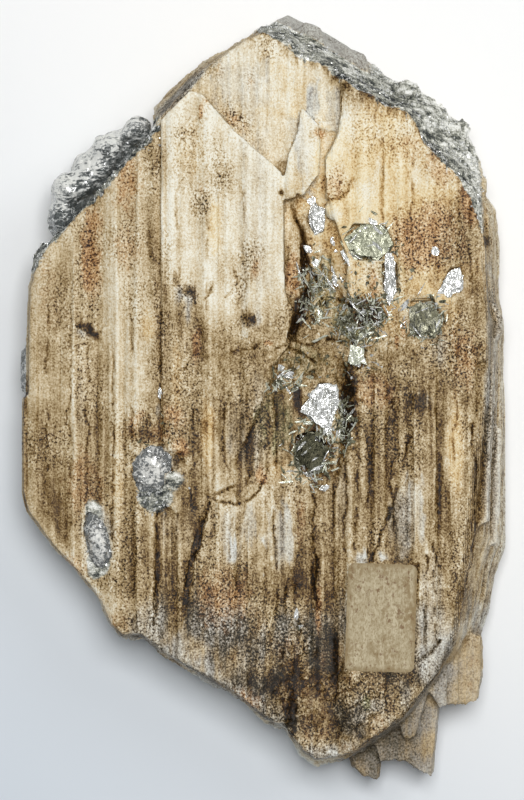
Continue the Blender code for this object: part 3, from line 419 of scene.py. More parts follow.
@dataclass(frozen=True)
class Noise:
    """Seeded noise over points in millimetres."""

    seed: int
    # what mixes the bits: for each axis, for the seed and the salt, and for each of the two rounds
    axis_primes: tuple[int, int, int] = (73856093, 19349663, 83492791)
    seed_primes: tuple[int, int] = (2654435, 977531)
    rounds: tuple[tuple[int, int], ...] = ((15, 2246822519), (13, 3266489917))

    def lattice(self, cells: Array, salt: int) -> Array:
        """A fixed value in 0..1 for each whole-numbered cell.

        Args:
            cells: Whole-numbered cells, one row of three for each point.
            salt: Picks one of many unrelated patterns.

        Returns:
            One value for each row.
        """
        mask = 0xFFFFFFFF
        columns = cells * np.array(self.axis_primes)
        mixed = columns[:, 0] ^ columns[:, 1] ^ columns[:, 2]
        mixed = (mixed ^ (self.seed * self.seed_primes[0] + salt * self.seed_primes[1])) & mask
        for shift, prime in self.rounds:
            mixed = ((mixed ^ (mixed >> shift)) * prime) & mask
        return (mixed ^ (mixed >> 16)) / mask

    def smooth(self, points: Array, cell: Point3, salt: int) -> Array:
        """Smooth noise in 0..1 with bumps about one cell wide.

        Args:
            points: Rows of x, y, z.
            cell: The size of a bump along each axis.
            salt: Picks one of many unrelated patterns.

        Returns:
            One value for each point.
        """
        scaled = points / np.asarray(cell, float)
        base = np.floor(scaled)
        part = scaled - base
        part = part * part * (3.0 - 2.0 * part)
        base = base.astype(np.int64)
        total = np.zeros(len(points))
        for corner in product((0, 1), repeat=3):
            weight = np.prod(np.where(np.array(corner) == 1, part, 1.0 - part), axis=1)
            total += weight * self.lattice(base + np.array(corner), salt)
        return total

    def layered(self, points: Array, cell: Point3, octaves: int, salt: int) -> Array:
        """Smooth noise in 0..1 with finer noise on it, each octave half as wide and half as strong."""
        total, weight = np.zeros(len(points)), 0.0
        for octave in range(octaves):
            share = 0.5**octave
            total += share * self.smooth(points, tuple(size * share for size in cell), salt + 31 * octave)
            weight += share
        return total / weight

    def swing(self, points: Array, cell: Point3, octaves: int, salt: int, reach: float) -> Array:
        """Layered noise about 0, which reaches half its reach to either side."""
        return (self.layered(points, cell, octaves, salt) - 0.5) * reach

    def terraced(self, points: Array, cell: Point3, levels: int, salt: int) -> Array:
        """Noise in 0..1 cut into flat levels with short ramps between them, as growth steps are."""
        height = self.layered(points, cell, 2, salt) * levels
        floor = np.floor(height)
        return (floor + smoothstep(0.42, 0.58, height - floor)) / levels

    def chipped(self, points: Array, cell: float, salt: int) -> Array:
        """Broken facets in about -1..1: every cell has its own height and its own tilt.

        Args:
            points: Rows of x, y, z.
            cell: The rough width of a facet.
            salt: Picks one of many unrelated patterns.

        Returns:
            One height for each point.
        """
        scaled = points / cell
        base = np.floor(scaled).astype(np.int64)
        nearest = np.full(len(points), 1e9)
        height = np.zeros(len(points))
        for step in product((-1, 0, 1), repeat=3):
            cells = base + np.array(step)
            seeds = np.stack([self.lattice(cells, salt + axis) for axis in (1, 2, 3)], axis=1)
            tilt = np.stack([self.lattice(cells, salt + axis) for axis in (4, 5, 6)], axis=1) - 0.5
            offset = scaled - (cells + seeds)
            gap = np.einsum("ij,ij->i", offset, offset)
            here = (self.lattice(cells, salt + 7) - 0.5) * 1.2 + np.einsum("ij,ij->i", offset, tilt) * 1.6
            closer = gap < nearest
            nearest = np.where(closer, gap, nearest)
            height = np.where(closer, here, height)
        return height


NOISE = Noise(41)


def stepped(points: Array, layers: Iterable[Steps]) -> Array:
    """Growth steps about 0, layer over layer."""
    height = np.zeros(len(points))
    for cell, levels, salt, reach in layers:
        height += (NOISE.terraced(points, cell, levels, salt) - 0.5) * reach
    return height


def patch_amount(points: Array, zones: Iterable[Patch], salt: int) -> Array:
    """The strongest of the patches at each point, with uneven edges."""
    uneven = NOISE.swing(points, (3.0, 5.0, 3.0), 2, salt, 0.7)
    amount = np.zeros(len(points))
    for patch in zones:
        amount = np.maximum(amount, patch.amount * smoothstep(1.15, 0.45, patch.reach(points) + uneven))
    return amount


def linear(hex_colour: str) -> tuple[float, float, float, float]:
    """An sRGB hex colour as linear red, green, blue and full alpha."""
    parts = [int(hex_colour[i : i + 2], 16) / 255.0 for i in (1, 3, 5)]
    return (*(p / 12.92 if p <= 0.04045 else ((p + 0.055) / 1.055) ** 2.4 for p in parts), 1.0)


def add(
    tree: bpy.types.NodeTree,
    kind: str,
    inputs: dict[str | int, Any] | None = None,
    settings: dict[str, Any] | None = None,
    out: str | int = 0,
) -> bpy.types.NodeSocket:
    """Adds a node, sets it up and links it.

    Args:
        tree: The tree that the node goes into.
        kind: The node's type name.
        inputs: For each input, by name, identifier or number, a value or the output it is linked to.
        settings: The node's own properties.
        out: The output to hand back, by name, identifier or number.

    Returns:
        The output asked for, or the node's first input where it has no outputs.
    """
    node = tree.nodes.new(kind)
    for name, value in (settings or {}).items():
        setattr(node, name, value)

    def pick(sockets: Any, key: str | int) -> bpy.types.NodeSocket:
        """The socket of that number, identifier or name."""
        if isinstance(key, int):
            return sockets[key]
        return next((s for s in sockets if s.identifier == key), None) or sockets[key]

    for key, value in (inputs or {}).items():
        socket = pick(node.inputs, key)
        if isinstance(value, bpy.types.NodeSocket):
            tree.links.new(value, socket)
        else:
            socket.default_value = value
    return pick(node.outputs, out) if len(node.outputs) else node.inputs[0]


def stretched(tree: bpy.types.NodeTree, cell: Point3, turn: float = 0.0) -> bpy.types.NodeSocket:
    """Object coordinates, turned about Z, in which one unit is one cell in millimetres."""
    place = add(tree, "ShaderNodeTexCoord", out="Object")
    scale = tuple(1.0 / (size * MM) for size in cell)
    return add(tree, "ShaderNodeMapping", {"Vector": place, "Rotation": (0.0, 0.0, turn), "Scale": scale})


class Look:
    """A material in the making: its node tree and the kinds of node that the finishes share."""

    def __init__(self, name: str) -> None:
        """Starts an empty material."""
        self.material = bpy.data.materials.new(name)
        self.material.use_nodes = True
        self.tree = self.material.node_tree
        self.tree.nodes.clear()

    def mask(self, name: str) -> bpy.types.NodeSocket:
        """A mask that is painted on the mesh."""
        return add(self.tree, "ShaderNodeAttribute", settings={"attribute_name": name}, out="Fac")

    def noise(
        self, cell: Point3, detail: float, roughness: float = 0.65, turn: float = 0.0, distortion: float = 0.0
    ) -> bpy.types.NodeSocket:
        """Noise with bumps of a size in millimetres, turned about Z."""
        return add(self.tree, "ShaderNodeTexNoise", {
            "Vector": stretched(self.tree, cell, turn), "Scale": 1.0, "Detail": detail,
            "Roughness": roughness, "Distortion": distortion,
        })

    def maths(self, operation: str, *values: Any) -> bpy.types.NodeSocket:
        """Arithmetic on values in their order."""
        return add(self.tree, "ShaderNodeMath", dict(enumerate(values)), {"operation": operation})

    def soft(self, value: Any, low: float, high: float, most: float = 1.0) -> bpy.types.NodeSocket:
        """A soft threshold of a value."""
        return add(
            self.tree, "ShaderNodeMapRange",
            {"Value": value, "From Min": low, "From Max": high, "To Max": most},
            {"interpolation_type": "SMOOTHSTEP"},
        )

    def between(self, share: Any, start: float, end: float) -> bpy.types.NodeSocket:
        """A share as a value between two others."""
        return add(self.tree, "ShaderNodeMapRange", {"Value": share, "To Min": start, "To Max": end})

    def over(self, below: Any, colour: Any, amount: Any) -> bpy.types.NodeSocket:
        """A colour laid over another."""
        return add(
            self.tree, "ShaderNodeMix", {"A_Color": below, "B_Color": colour, "Factor_Float": amount},
            {"data_type": "RGBA"}, "Result_Color",
        )

    def bump(self, height: Any, strength: float, reach: float) -> bpy.types.NodeSocket:
        """Fine relief, its reach in millimetres."""
        sizes = {"Height": height, "Strength": strength, "Distance": reach * MM}
        return add(self.tree, "ShaderNodeBump", sizes)

    def made(self, surface: dict[str, Any], inside: bpy.types.NodeSocket | None = None) -> bpy.types.Material:
        """The material, with its surface and whatever fills it."""
        ends = {"Surface": add(self.tree, "ShaderNodeBsdfPrincipled", surface)}
        if inside is not None:
            ends["Volume"] = inside
        add(self.tree, "ShaderNodeOutputMaterial", ends)
        return self.material


Ramp = tuple[tuple[float, str], ...]


@dataclass(frozen=True)
class WeatheredSpodumene:
    """Spodumene, a pyroxene, as a cleaved and long weathered prism.

    It splits into laths along its length, so every pattern is drawn out along Y. One value, the grime,
    runs from pearly white, where the cleavage is fresh, to black manganese; it also holds painted shade
    in the hollows, painted shadow beside the central mica book and painted highlight on the crests.
    Ramps give that value its colours: bare mineral, yellowed, iron stained, olive by the mica and grey.
    """

    name: str = "weathered spodumene"
    bare: Ramp = (
        (0.00, "#F1EEDF"), (0.15, "#E1D6BC"), (0.32, "#C9B590"), (0.48, "#AB946C"), (0.62, "#876E44"),
        (0.74, "#644A20"), (0.86, "#41290A"), (1.00, "#160D03"),
    )
    # each hue: its mask, the pattern that breaks it up, how much, its level everywhere, its colours
    hues: tuple[tuple[str, str, float, float, Ramp], ...] = (
        ("cream", "blotch", 0.9, 0.14, (
            (0.00, "#F2E8CA"), (0.22, "#E2CB9B"), (0.45, "#BF9B62"), (0.68, "#7C5829"), (1.00, "#1A0F04"),
        )),
        ("grey", "strips", 0.9, 0.08, (
            (0.00, "#EDEFEC"), (0.22, "#CDCDC4"), (0.45, "#99938A"), (0.68, "#564E3C"), (0.92, "#1F1B12"),
        )),
        ("olive", "mottle", 0.9, 0.04, (
            (0.00, "#E4E2C8"), (0.22, "#BDB88F"), (0.45, "#827D52"), (0.68, "#48451F"), (1.00, "#0F0F06"),
        )),
        ("rust", "mottle", 1.0, 0.10, (
            (0.00, "#ECDAB6"), (0.22, "#D9B98C"), (0.45, "#B48A58"), (0.68, "#764D26"), (1.00, "#221207"),
        )),
    )
    stone: Ramp = (
        (0.00, "#F4F4EE"), (0.25, "#C6C6BB"), (0.45, "#8C8C80"), (0.65, "#515550"), (0.90, "#1A1D1F"),
    )
    # how far each pattern moves the grime: where it is uneven, and where it is streaked along the laths
    uneven: tuple[tuple[str, float], ...] = (("mottle", 0.58), ("blotch", 1.10), ("grain", 1.40))
    streaked: tuple[tuple[str, float], ...] = (("strips", 0.50), ("laths", 0.50))
    # the dots of the pores: where in their pattern they begin and end, and how far they move the grime
    dots: tuple[Point3, ...] = ((0.53, 0.63, 1.0), (0.46, 0.35, -0.40))
    # each pattern: its cell in millimetres, its detail and its roughness
    patterns: tuple[tuple[str, Point3, float, float], ...] = (
        ("strips", (2.6, 210.0, 2.6), 5.0, 0.62),
        ("laths", (0.70, 48.0, 0.70), 3.0, 0.60),
        ("mottle", (1.5, 2.7, 1.5), 4.0, 0.72),
        ("blotch", (7.0, 9.0, 7.0), 5.0, 0.74),
        ("grain", (0.38, 0.45, 0.38), 2.0, 0.60),
        ("pores", (0.50, 0.55, 0.50), 2.0, 0.60),
        ("layers", (5.0, 1.7, 2.2), 5.0, 0.72),
    )
    layers_turn: float = 0.63
    # how far each pattern moves the rind's grime, and the fine relief
    crusted: tuple[tuple[str, float], ...] = (("layers", 2.8), ("grain", 1.1), ("blotch", 0.8))
    relief: tuple[tuple[str, float], ...] = (("laths", 1.0), ("mottle", 0.8), ("grain", 0.8), ("pores", 0.5))
    ior: float = 1.66
    # the weathered film is powdery, so it gives less gloss than a clean face
    gloss: float = 0.18

    def make(self) -> bpy.types.Material:
        """The material: the grime's level, its hues, the rind, then gloss and fine relief."""
        look = Look(self.name)
        noises = {
            name: look.noise(cell, detail, rough, self.layers_turn if name == "layers" else 0.0)
            for name, cell, detail, rough in self.patterns
        }

        def moved(value: Any, name: str, amount: float) -> bpy.types.NodeSocket:
            """A value with a pattern added about the pattern's middle."""
            return look.maths("ADD", value, look.maths("MULTIPLY_ADD", noises[name], amount, -amount / 2))

        def coloured(value: bpy.types.NodeSocket, stops: Ramp) -> bpy.types.NodeSocket:
            """A value as a colour."""
            result = add(look.tree, "ShaderNodeValToRGB", {"Fac": value}, out="Color")
            elements = result.node.color_ramp.elements
            for place, _ in stops[2:]:
                elements.new(place)
            for element, (place, colour) in zip(elements, stops):
                element.position = place
                element.color = linear(colour)
            return result

        grime = look.mask("grime")
        for strength, moves in (("busy", self.uneven), ("streaks", self.streaked)):
            pattern: Any = 0.0
            for name, amount in moves:
                pattern = moved(pattern, name, amount)
            grime = look.maths("MULTIPLY_ADD", pattern, look.mask(strength), grime)
        dense = look.maths("MULTIPLY_ADD", look.mask("speck"), 0.60, 0.12)
        for low, high, sign in self.dots:
            dots = look.maths("MULTIPLY", look.soft(noises["pores"], low, high), sign)
            grime = look.maths("MULTIPLY_ADD", dots, dense, grime)

        colour = coloured(grime, self.bare)
        for name, by, breakup, everywhere, stops in self.hues:
            shown = moved(look.maths("ADD", look.mask(name), everywhere), by, breakup)
            shown = look.soft(moved(shown, "grain", 0.6), 0.25, 0.85)
            colour = look.over(colour, coloured(grime, stops), shown)

        crust = look.maths("MULTIPLY_ADD", look.mask("grime"), 0.8, 0.0)
        for name, amount in self.crusted:
            crust = moved(crust, name, amount)
        shown = look.soft(moved(look.mask("rind"), "grain", 0.9), 0.3, 0.7)
        colour = look.over(colour, coloured(crust, self.stone), shown)

        relief: Any = 0.0
        for name, amount in self.relief:
            relief = moved(relief, name, amount)
        return look.made({
            "Base Color": colour, "Roughness": look.between(noises["mottle"], 0.36, 0.7), "IOR": self.ior,
            "Specular IOR Level": self.gloss, "Normal": look.bump(relief, 0.6, 0.28),
        })


@dataclass(frozen=True)
class VeinQuartz:
    """Vein quartz, broken: clear and glassy inside, with white veils of bubbles and healed cracks.

    How much is veiled, how clear the rest is, and what share of the pattern is specks, run from 0 to 1.
    """

    name: str
    clear: str
    veil: str
    density: float
    veiled: float
    cell: Point3
    smoke: str = "#5C6672"
    clarity: float = 0.92
    dullest: float = 0.12
    specks: float = 0.45
    softness: float = 0.045
    turn: float = 0.0
    ior: float = 1.544
    roughness: float = 0.12

    def make(self) -> bpy.types.Material:
        """The material: clear by transmission and absorption, clouded by veils and healed cracks."""
        look = Look(self.name)
        specks = look.noise((0.6, 0.6, 0.6), 3.0, turn=self.turn)
        milk = look.mask("milk")
        both = look.maths("MULTIPLY_ADD", look.noise(self.cell, 6.0, turn=self.turn), 1.0 - self.specks, 0.0)
        both = look.maths("MULTIPLY_ADD", specks, self.specks, both)
        # the painted milk mask adds veils; on the grains it also holds painted shade, leaving their rims
        # clearer and darker
        both = look.maths("MULTIPLY_ADD", milk, 0.30, both)
        edge = 0.77 - 0.14 * self.veiled
        veil = look.soft(both, edge - self.softness, edge + self.softness)
        healed = look.noise(tuple(size * 2.6 for size in self.cell), 2.0, turn=self.turn)
        healed = look.maths("ABSOLUTE", look.maths("SUBTRACT", healed, 0.5))
        veil = look.maths("MAXIMUM", veil, look.soft(healed, 0.022, 0.004, 0.7))
        smoke = {"Color": linear(self.smoke), "Density": self.density}
        inside = add(look.tree, "ShaderNodeVolumeAbsorption", smoke)
        return look.made({
            "Base Color": look.over(linear(self.clear), linear(self.veil), veil), "Roughness": self.roughness,
            "IOR": self.ior, "Transmission Weight": look.between(veil, self.clarity, self.dullest),
            "Normal": look.bump(both, 0.35, 0.25),
        }, inside)


@dataclass(frozen=True)
class Muscovite:
    """Muscovite mica, cleaved: flat elastic sheets with a bright pearly, almost metallic reflection."""

    name: str
    light: str
    dark: str
    shine: float
    roughness: float

    def make(self) -> bpy.types.Material:
        """The material: fine steps, dull films and creases of split mica."""
        look = Look(self.name)
        film = look.soft(look.noise((0.55, 2.4, 0.5), 4.0, turn=0.7, distortion=1.6), 0.40, 0.56)
        creases = look.noise((0.8, 0.8, 0.8), 3.0, 0.5, distortion=1.2)
        return look.made({
            "Base Color": look.over(linear(self.dark), linear(self.light), film), "Metallic": self.shine,
            "Roughness": look.between(film, self.roughness + 0.22, self.roughness),
            "Normal": look.bump(creases, 0.7, 0.22),
        })


@dataclass(frozen=True)
class AgedPaper:
    """Rag paper, hand cut and glued down, browned by age: soft fibres, foxing and dirt on the ridges."""

    name: str = "aged rag paper"
    sheet: str = "#B0A283"
    browned: str = "#8A7550"
    foxing: str = "#6E4C2A"
    pale: str = "#C6BA9C"

    def make(self) -> bpy.types.Material:
        """The material: uneven browning, thin fibres and a few foxing spots."""
        look = Look(self.name)
        colour: Any = linear(self.sheet)
        fibres = look.noise((0.35, 0.8, 0.6), 3.0)
        for pattern, low, high, over, amount in (
            (look.noise((6.0, 8.0, 6.0), 4.0), 0.44, 0.62, self.browned, 0.8),
            (look.noise((1.6, 12.0, 4.0), 3.0), 0.50, 0.64, self.pale, 0.8),
            (fibres, 0.44, 0.62, self.browned, 0.7),
            (look.noise((0.9, 1.1, 0.9), 3.0), 0.50, 0.64, self.pale, 0.6),
            (look.noise((1.4, 1.8, 1.4), 3.0), 0.57, 0.66, self.foxing, 0.7),
        ):
            colour = look.over(colour, linear(over), look.soft(pattern, low, high, amount))
        for name, over in (("worn", self.pale), ("dirt", self.browned)):
            colour = look.over(colour, linear(over), look.mask(name))
        return look.made({"Base Color": colour, "Roughness": 0.78, "Normal": look.bump(fibres, 0.35, 0.08)})


def points_of(mesh: bpy.types.Mesh) -> Array:
    """A mesh's points in millimetres."""
    flat = np.empty(len(mesh.vertices) * 3)
    mesh.vertices.foreach_get("co", flat)
    return flat.reshape(-1, 3) / MM


def normals_of(mesh: bpy.types.Mesh) -> Array:
    """A mesh's point normals."""
    flat = np.empty(len(mesh.vertices) * 3)
    mesh.vertices.foreach_get("normal", flat)
    return flat.reshape(-1, 3)


def set_points(mesh: bpy.types.Mesh, points: Array) -> None:
    """Moves a mesh's points, given in millimetres."""
    mesh.vertices.foreach_set("co", (points * MM).ravel())
    mesh.update()


def paint(mesh: bpy.types.Mesh, name: str, values: Array) -> None:
    """Keeps one value for each point under a name."""
    layer = mesh.attributes.new(name, "FLOAT", "POINT")
    layer.data.foreach_set("value", np.clip(values, 0.0, 1.0).astype(np.float32))


def new_object(name: str, data: bpy.types.ID) -> bpy.types.Object:
    """A linked object for a mesh, a lamp or a camera."""
    made = bpy.data.objects.new(name, data)
    bpy.context.scene.collection.objects.link(made)
    return made


@contextmanager
def edited(mesh: bpy.types.Mesh) -> Iterator[bmesh.types.BMesh]:
    """A mesh to work on, written back at the end."""
    work = bmesh.new()
    work.from_mesh(mesh)
    yield work
    work.to_mesh(mesh)
    work.free()


def mesh_from(name: str, points: Array, faces: Sequence[Sequence[int]]) -> bpy.types.Mesh:
    """A mesh from points in millimetres, its faces turned outwards."""
    mesh = bpy.data.meshes.new(name)
    mesh.from_pydata((np.asarray(points) * MM).tolist(), [], [list(face) for face in faces])
    with edited(mesh) as work:
        bmesh.ops.recalc_face_normals(work, faces=work.faces)
    return mesh


def plate_faces(quads: Sequence[Sequence[int]], rim: Sequence[int], under: int) -> list[list[int]]:
    """The faces of a thin closed plate whose lower points follow its upper ones.

    Args:
        quads: The faces of its upper side.
        rim: The points round its upper side, in their order.
        under: How many points the upper side has.

    Returns:
        The faces of both sides and of the rim.
    """
    faces = [side for quad in quads for side in (list(quad), [under + i for i in reversed(quad)])]
    return faces + [[a, under + a, under + b, b] for a, b in zip(rim, [*rim[1:], rim[0]])]


def merged_copy(node: str, name: str) -> bpy.types.Object:
    """A copy of a CAD node as one connected mesh."""
    mesh = frame["nodes"][node].data.copy()
    mesh.materials.clear()
    with edited(mesh) as work:
        bmesh.ops.remove_doubles(work, verts=work.verts, dist=1e-6)
    return new_object(name, mesh)


def settled(obj: bpy.types.Object, modifier: bpy.types.Modifier) -> None:
    """Keeps a modifier's result as the object's mesh."""
    made = bpy.data.meshes.new_from_object(obj.evaluated_get(bpy.context.evaluated_depsgraph_get()))
    old = obj.data
    obj.modifiers.remove(modifier)
    obj.data = made
    bpy.data.meshes.remove(old)


def applied(obj: bpy.types.Object, kind: str, settings: dict[str, Any]) -> None:
    """Runs one modifier and keeps its result."""
    modifier = obj.modifiers.new(kind.lower(), kind)
    for name, value in settings.items():
        setattr(modifier, name, value)
    settled(obj, modifier)


def remeshed(obj: bpy.types.Object, voxel: float) -> None:
    """Gives an object an even mesh, with cells of a size in millimetres."""
    applied(obj, "REMESH", {"mode": "VOXEL", "voxel_size": voxel * MM, "adaptivity": 0.0})


def thinned(obj: bpy.types.Object, triangles: int) -> None:
    """Brings an object down to a number of triangles."""
    now = sum(len(polygon.vertices) - 2 for polygon in obj.data.polygons)
    applied(obj, "DECIMATE", {"ratio": min(1.0, triangles / now), "use_collapse_triangulate": True})


def keep_inside(mesh: bpy.types.Mesh, points: Array, box: Sequence[Sequence[float]]) -> None:
    """Moves a mesh's points, given in millimetres, but none past a box, given in metres."""
    low, high = (np.array(corner) / MM for corner in box)
    set_points(mesh, np.clip(points, low, high))


def turns(*steps: tuple[float, str]) -> Array:
    """Turns in degrees about the axes named as one matrix, the last of them made first."""
    whole = Matrix.Identity(3)
    for degrees, axis in steps:
        whole = whole @ Matrix.Rotation(math.radians(degrees), 3, axis)
    return np.array(whole)


def shade(mesh: bpy.types.Mesh, degrees: float) -> None:
    """Smooth shading, with edges sharper than an angle left crisp."""
    mesh.shade_smooth()
    mesh.set_sharp_from_angle(angle=math.radians(degrees))


def finished(
    obj: bpy.types.Object, material: bpy.types.Material, replaced: Sequence[str] = ()
) -> bpy.types.Object:
    """Gives a piece its finish and its place in the frame."""
    obj.data.materials.clear()
    obj.data.materials.append(material)
    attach(obj, "root")
    if replaced:
        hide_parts(*replaced)
    LOG.info("%s: %d faces", obj.name, len(obj.data.polygons))
    return obj


@dataclass
class CrystalSkin:
    """The spodumene itself: the CAD solid remeshed, then stepped, chipped, cracked and stained."""

    finish: WeatheredSpodumene
    node: str = "spodumene_crystal"
    voxel: float = 0.42
    draft_voxel: float = 0.85
    triangles: int = 192_000
    draft_triangles: int = 60_000
    front_from: Point2 = (27.0, 33.0)
    back_recess: float = 1.1
    rind_depth: float = 0.9
    groove: float = 0.22
    label_seat: float = 38.6
    base_from: Point2 = (-40.0, -56.0)
    # the growth steps of the front, the sides and the ends
    front_steps: tuple[Steps, ...] = (((3.4, 210.0, 1.0), 5, 1, 0.8), ((1.3, 90.0, 1.0), 4, 2, 0.42))
    side_steps: tuple[Steps, ...] = (((2.6, 46.0, 1.0), 5, 4, 1.8), ((1.1, 16.0, 1.0), 4, 5, 0.7))
    end_steps: tuple[Steps, ...] = (((1.9, 400.0, 3.6), 6, 6, 2.0), ((0.9, 300.0, 1.6), 4, 7, 1.0))
    # how finely the solid's grooves are measured, and how wide a groove may be, in such cells
    grid: float = 0.5
    window: int = 4
    # the heights between which each of these sets in: broken zones, grains, the rind by the quartz and
    # past the edge, cracks, stains, loose mica, and the walls' own grime downwards
    rough_from: Point2 = (26.0, 33.0)
    grains_from: Point2 = (29.0, 33.0)
    beside_from: Point2 = (22.0, 28.0)
    rind_from: Point2 = (8.0, 16.0)
    cracks_from: float = 28.0
    stains_from: Point2 = (16.0, 30.0)
    mica_from: Point2 = (30.0, 34.0)
    walls_below: Point2 = (33.0, 27.0)
    # the ground that nothing has stained, the walls, dirt in the cracks, and the pale level of the painted
    # highlight on the crests, as grime
    ground_grime: float = 0.58
    wall_grime: float = 0.39
    crack_grime: float = 0.95
    crest_highlight: float = 0.08
    # how high the front face and the label's ground begin, and the ring whose ground is carried in
    front_level: float = 33.0
    label_level: float = 36.0
    label_ring: Point2 = (1.3, 2.1)

    def build(self) -> bpy.types.Object:
        """The crystal's mesh, shaped and painted.

        Returns:
            The finished object.
        """
        obj = merged_copy(self.node, "crystal_skin")
        remeshed(obj, self.voxel)
        points, normals = points_of(obj.data), normals_of(obj.data)
        points = self.seated(self.cracked(self.displaced(self.healed(points), normals)))
        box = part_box(self.node)
        keep_inside(obj.data, points, box)
        thinned(obj, self.triangles)
        keep_inside(obj.data, points_of(obj.data), box)
        shade(obj.data, 38.0)
        self.dress(obj.data)
        return finished(obj, self.finish.make(), [self.node])

    def base(self, points: Array) -> Array:
        """1 towards the broken base and 0 above it."""
        return smoothstep(*self.base_from, points[:, 1])

    def right(self, points: Array) -> Array:
        """1 to the right of the tip and 0 to its left."""
        return smoothstep(-4.0, 0.0, points[:, 0])

    def fresh(self, points: Array) -> Array:
        """The broken plates at the lower right, which are hardly stained."""
        x, y, z = points.T
        return smoothstep(33.0, 31.0, z) * smoothstep(-56.0, -62.0, y) * smoothstep(16.0, 22.0, x)

    def past_edge(self, points: Array, strays: float = 3.4) -> Array:
        """How far each point lies past the front face's upper right edge, along Y, with noise on it."""
        xs, ys = zip(*RIND_EDGE)
        past = points[:, 1] - np.interp(points[:, 0], xs, ys)
        return past + NOISE.swing(points, (2.4, 2.4, 2.4), 3, 5, strays) if strays else past

    def outer_lath(self, points: Array) -> Array:
        """The smooth lath outside the rind, near the tip."""
        x, past = points[:, 0], self.past_edge(points, 0.0)
        return smoothstep(6.2, 7.0, past) * smoothstep(1.5, 4.5, x) * smoothstep(29.0, 24.0, x)

    def rind(self, points: Array) -> Array:
        """The fine-grained rind: past the upper right edge, but for its outermost lath, and by the quartz."""
        x, _, z = points.T
        past = self.past_edge(points)
        rind = smoothstep(-0.4, 0.9, past) * self.right(points) * smoothstep(56.0, 52.0, x)
        rind *= 1.0 - self.outer_lath(points)
        reach = 1.5 + 3.2 * smoothstep(35.5, 33.0, z)
        near = path_distance(points, CRUST_EDGE) + NOISE.swing(points, (1.6, 1.6, 1.6), 2, 28, 1.8)
        beside = smoothstep(reach, reach * 0.4, near) * smoothstep(*self.beside_from, z)
        grainy = patch_amount(points, GRAINY, 38) * smoothstep(*self.grains_from, z)
        return np.maximum(np.maximum(rind * smoothstep(*self.rind_from, z), beside), grainy)

    def displaced(self, points: Array, normals: Array) -> Array:
        """Growth steps along the length, broken zones, a splintered end, a rough rind and a stepped back."""
        x, y, z = points.T
        front = smoothstep(*self.front_from, z)
        rough = patch_amount(points, ROUGH, 11) * smoothstep(*self.rough_from, z)
        rind, lath = self.rind(points), self.outer_lath(points)
        side = (1.0 - front) * np.abs(normals[:, 0]) ** 1.5 * (1.0 - lath)
        end = (1.0 - front) * np.abs(normals[:, 1]) ** 1.5 * (1.0 - lath)
        flat = np.stack([x, y, np.zeros_like(x)], axis=1)
        wall = np.stack([z, y, np.zeros_like(x)], axis=1)
        moved = points.copy()
        lift = stepped(flat, self.front_steps) + NOISE.swing(flat, (0.9, 26.0, 1.0), 2, 3, 0.25)
        lift *= (1.0 - 0.6 * rind) * (1.0 - lath) * (1.0 - 0.45 * self.base(points))
        moved[:, 2] += lift * front
        moved[:, 0] += stepped(wall, self.side_steps) * side * np.sign(normals[:, 0])
        moved[:, 1] += stepped(points, self.end_steps) * end * np.sign(normals[:, 1])

        for axis, reach in ((0, 1.0), (1, 0.8)):
            sway = NOISE.swing(points, (6.0, 12.0, 6.0), 1, 22 + axis, 0.35)
            sway += NOISE.swing(points, (1.3, 2.2, 1.3), 2, 24 + axis, 0.3)
            moved[:, axis] += sway * reach * front

        chips = NOISE.chipped(points, 2.3, 20) * 0.75 + NOISE.chipped(points, 1.1, 30) * 0.35
        fine = NOISE.layered(points, (0.9, 1.6, 0.9), 2, 8) - 0.5
        depth = rough + self.rind_depth * rind * (0.35 + 0.65 * smoothstep(28.0, 40.0, x))
        depth += 0.28 * (side + end)
        moved += normals * (chips * depth * 0.62 + fine * (0.10 + 0.35 * rough + 0.4 * rind))[:, None]

        back = smoothstep(0.6, 0.9, -normals[:, 2]) * smoothstep(3.0, 0.5, z)
        steps = NOISE.terraced(flat, (15.0, 44.0, 1.0), 7, 9)
        recess = np.clip((steps - 0.52) * 5.0, 0.0, 1.0) * self.back_recess
        recess += smoothstep(0.50, 0.62, NOISE.terraced(flat, (2.4, 30.0, 1.0), 5, 10)) * 0.35
        moved[:, 2] += recess * back
        return moved

    def cracked(self, points: Array) -> Array:
        """The hairline cracks and step edges cut into the front face."""
        moved = points.copy()
        wander, force = self.wander(points)
        upper = points[:, 2] > self.cracks_from
        for crack in CRACKS:
            path = np.array(crack.path)
            low, high = path.min(axis=0) - 2.0, path.max(axis=0) + 2.0
            near = upper & np.all((points[:, :2] > low) & (points[:, :2] < high), axis=1)
            if not near.any():
                continue
            gap = path_distance(points[near] + wander[near], crack.path)
            share = np.clip(1.0 - gap / (crack.width * 0.8 + 0.15), 0.0, 1.0)
            moved[near, 2] -= crack.depth * share * force[near]
        return moved

    def wander(self, points: Array) -> tuple[Array, Array]:
        """How far cracks stray from their drawn paths, and how strong they are, at each point."""
        stray = np.zeros_like(points)
        for axis, reach in ((0, 1.0), (1, 0.6)):
            stray[:, axis] = NOISE.swing(points, (3.2, 4.5, 3.2), 1, 16 + axis, 1.5) * reach
            stray[:, axis] += NOISE.swing(points, (0.9, 1.3, 0.9), 2, 18 + axis, 1.1) * reach
        force = smoothstep(0.25, 0.6, NOISE.layered(points, (1.8, 5.0, 1.8), 2, 17))
        return stray, force

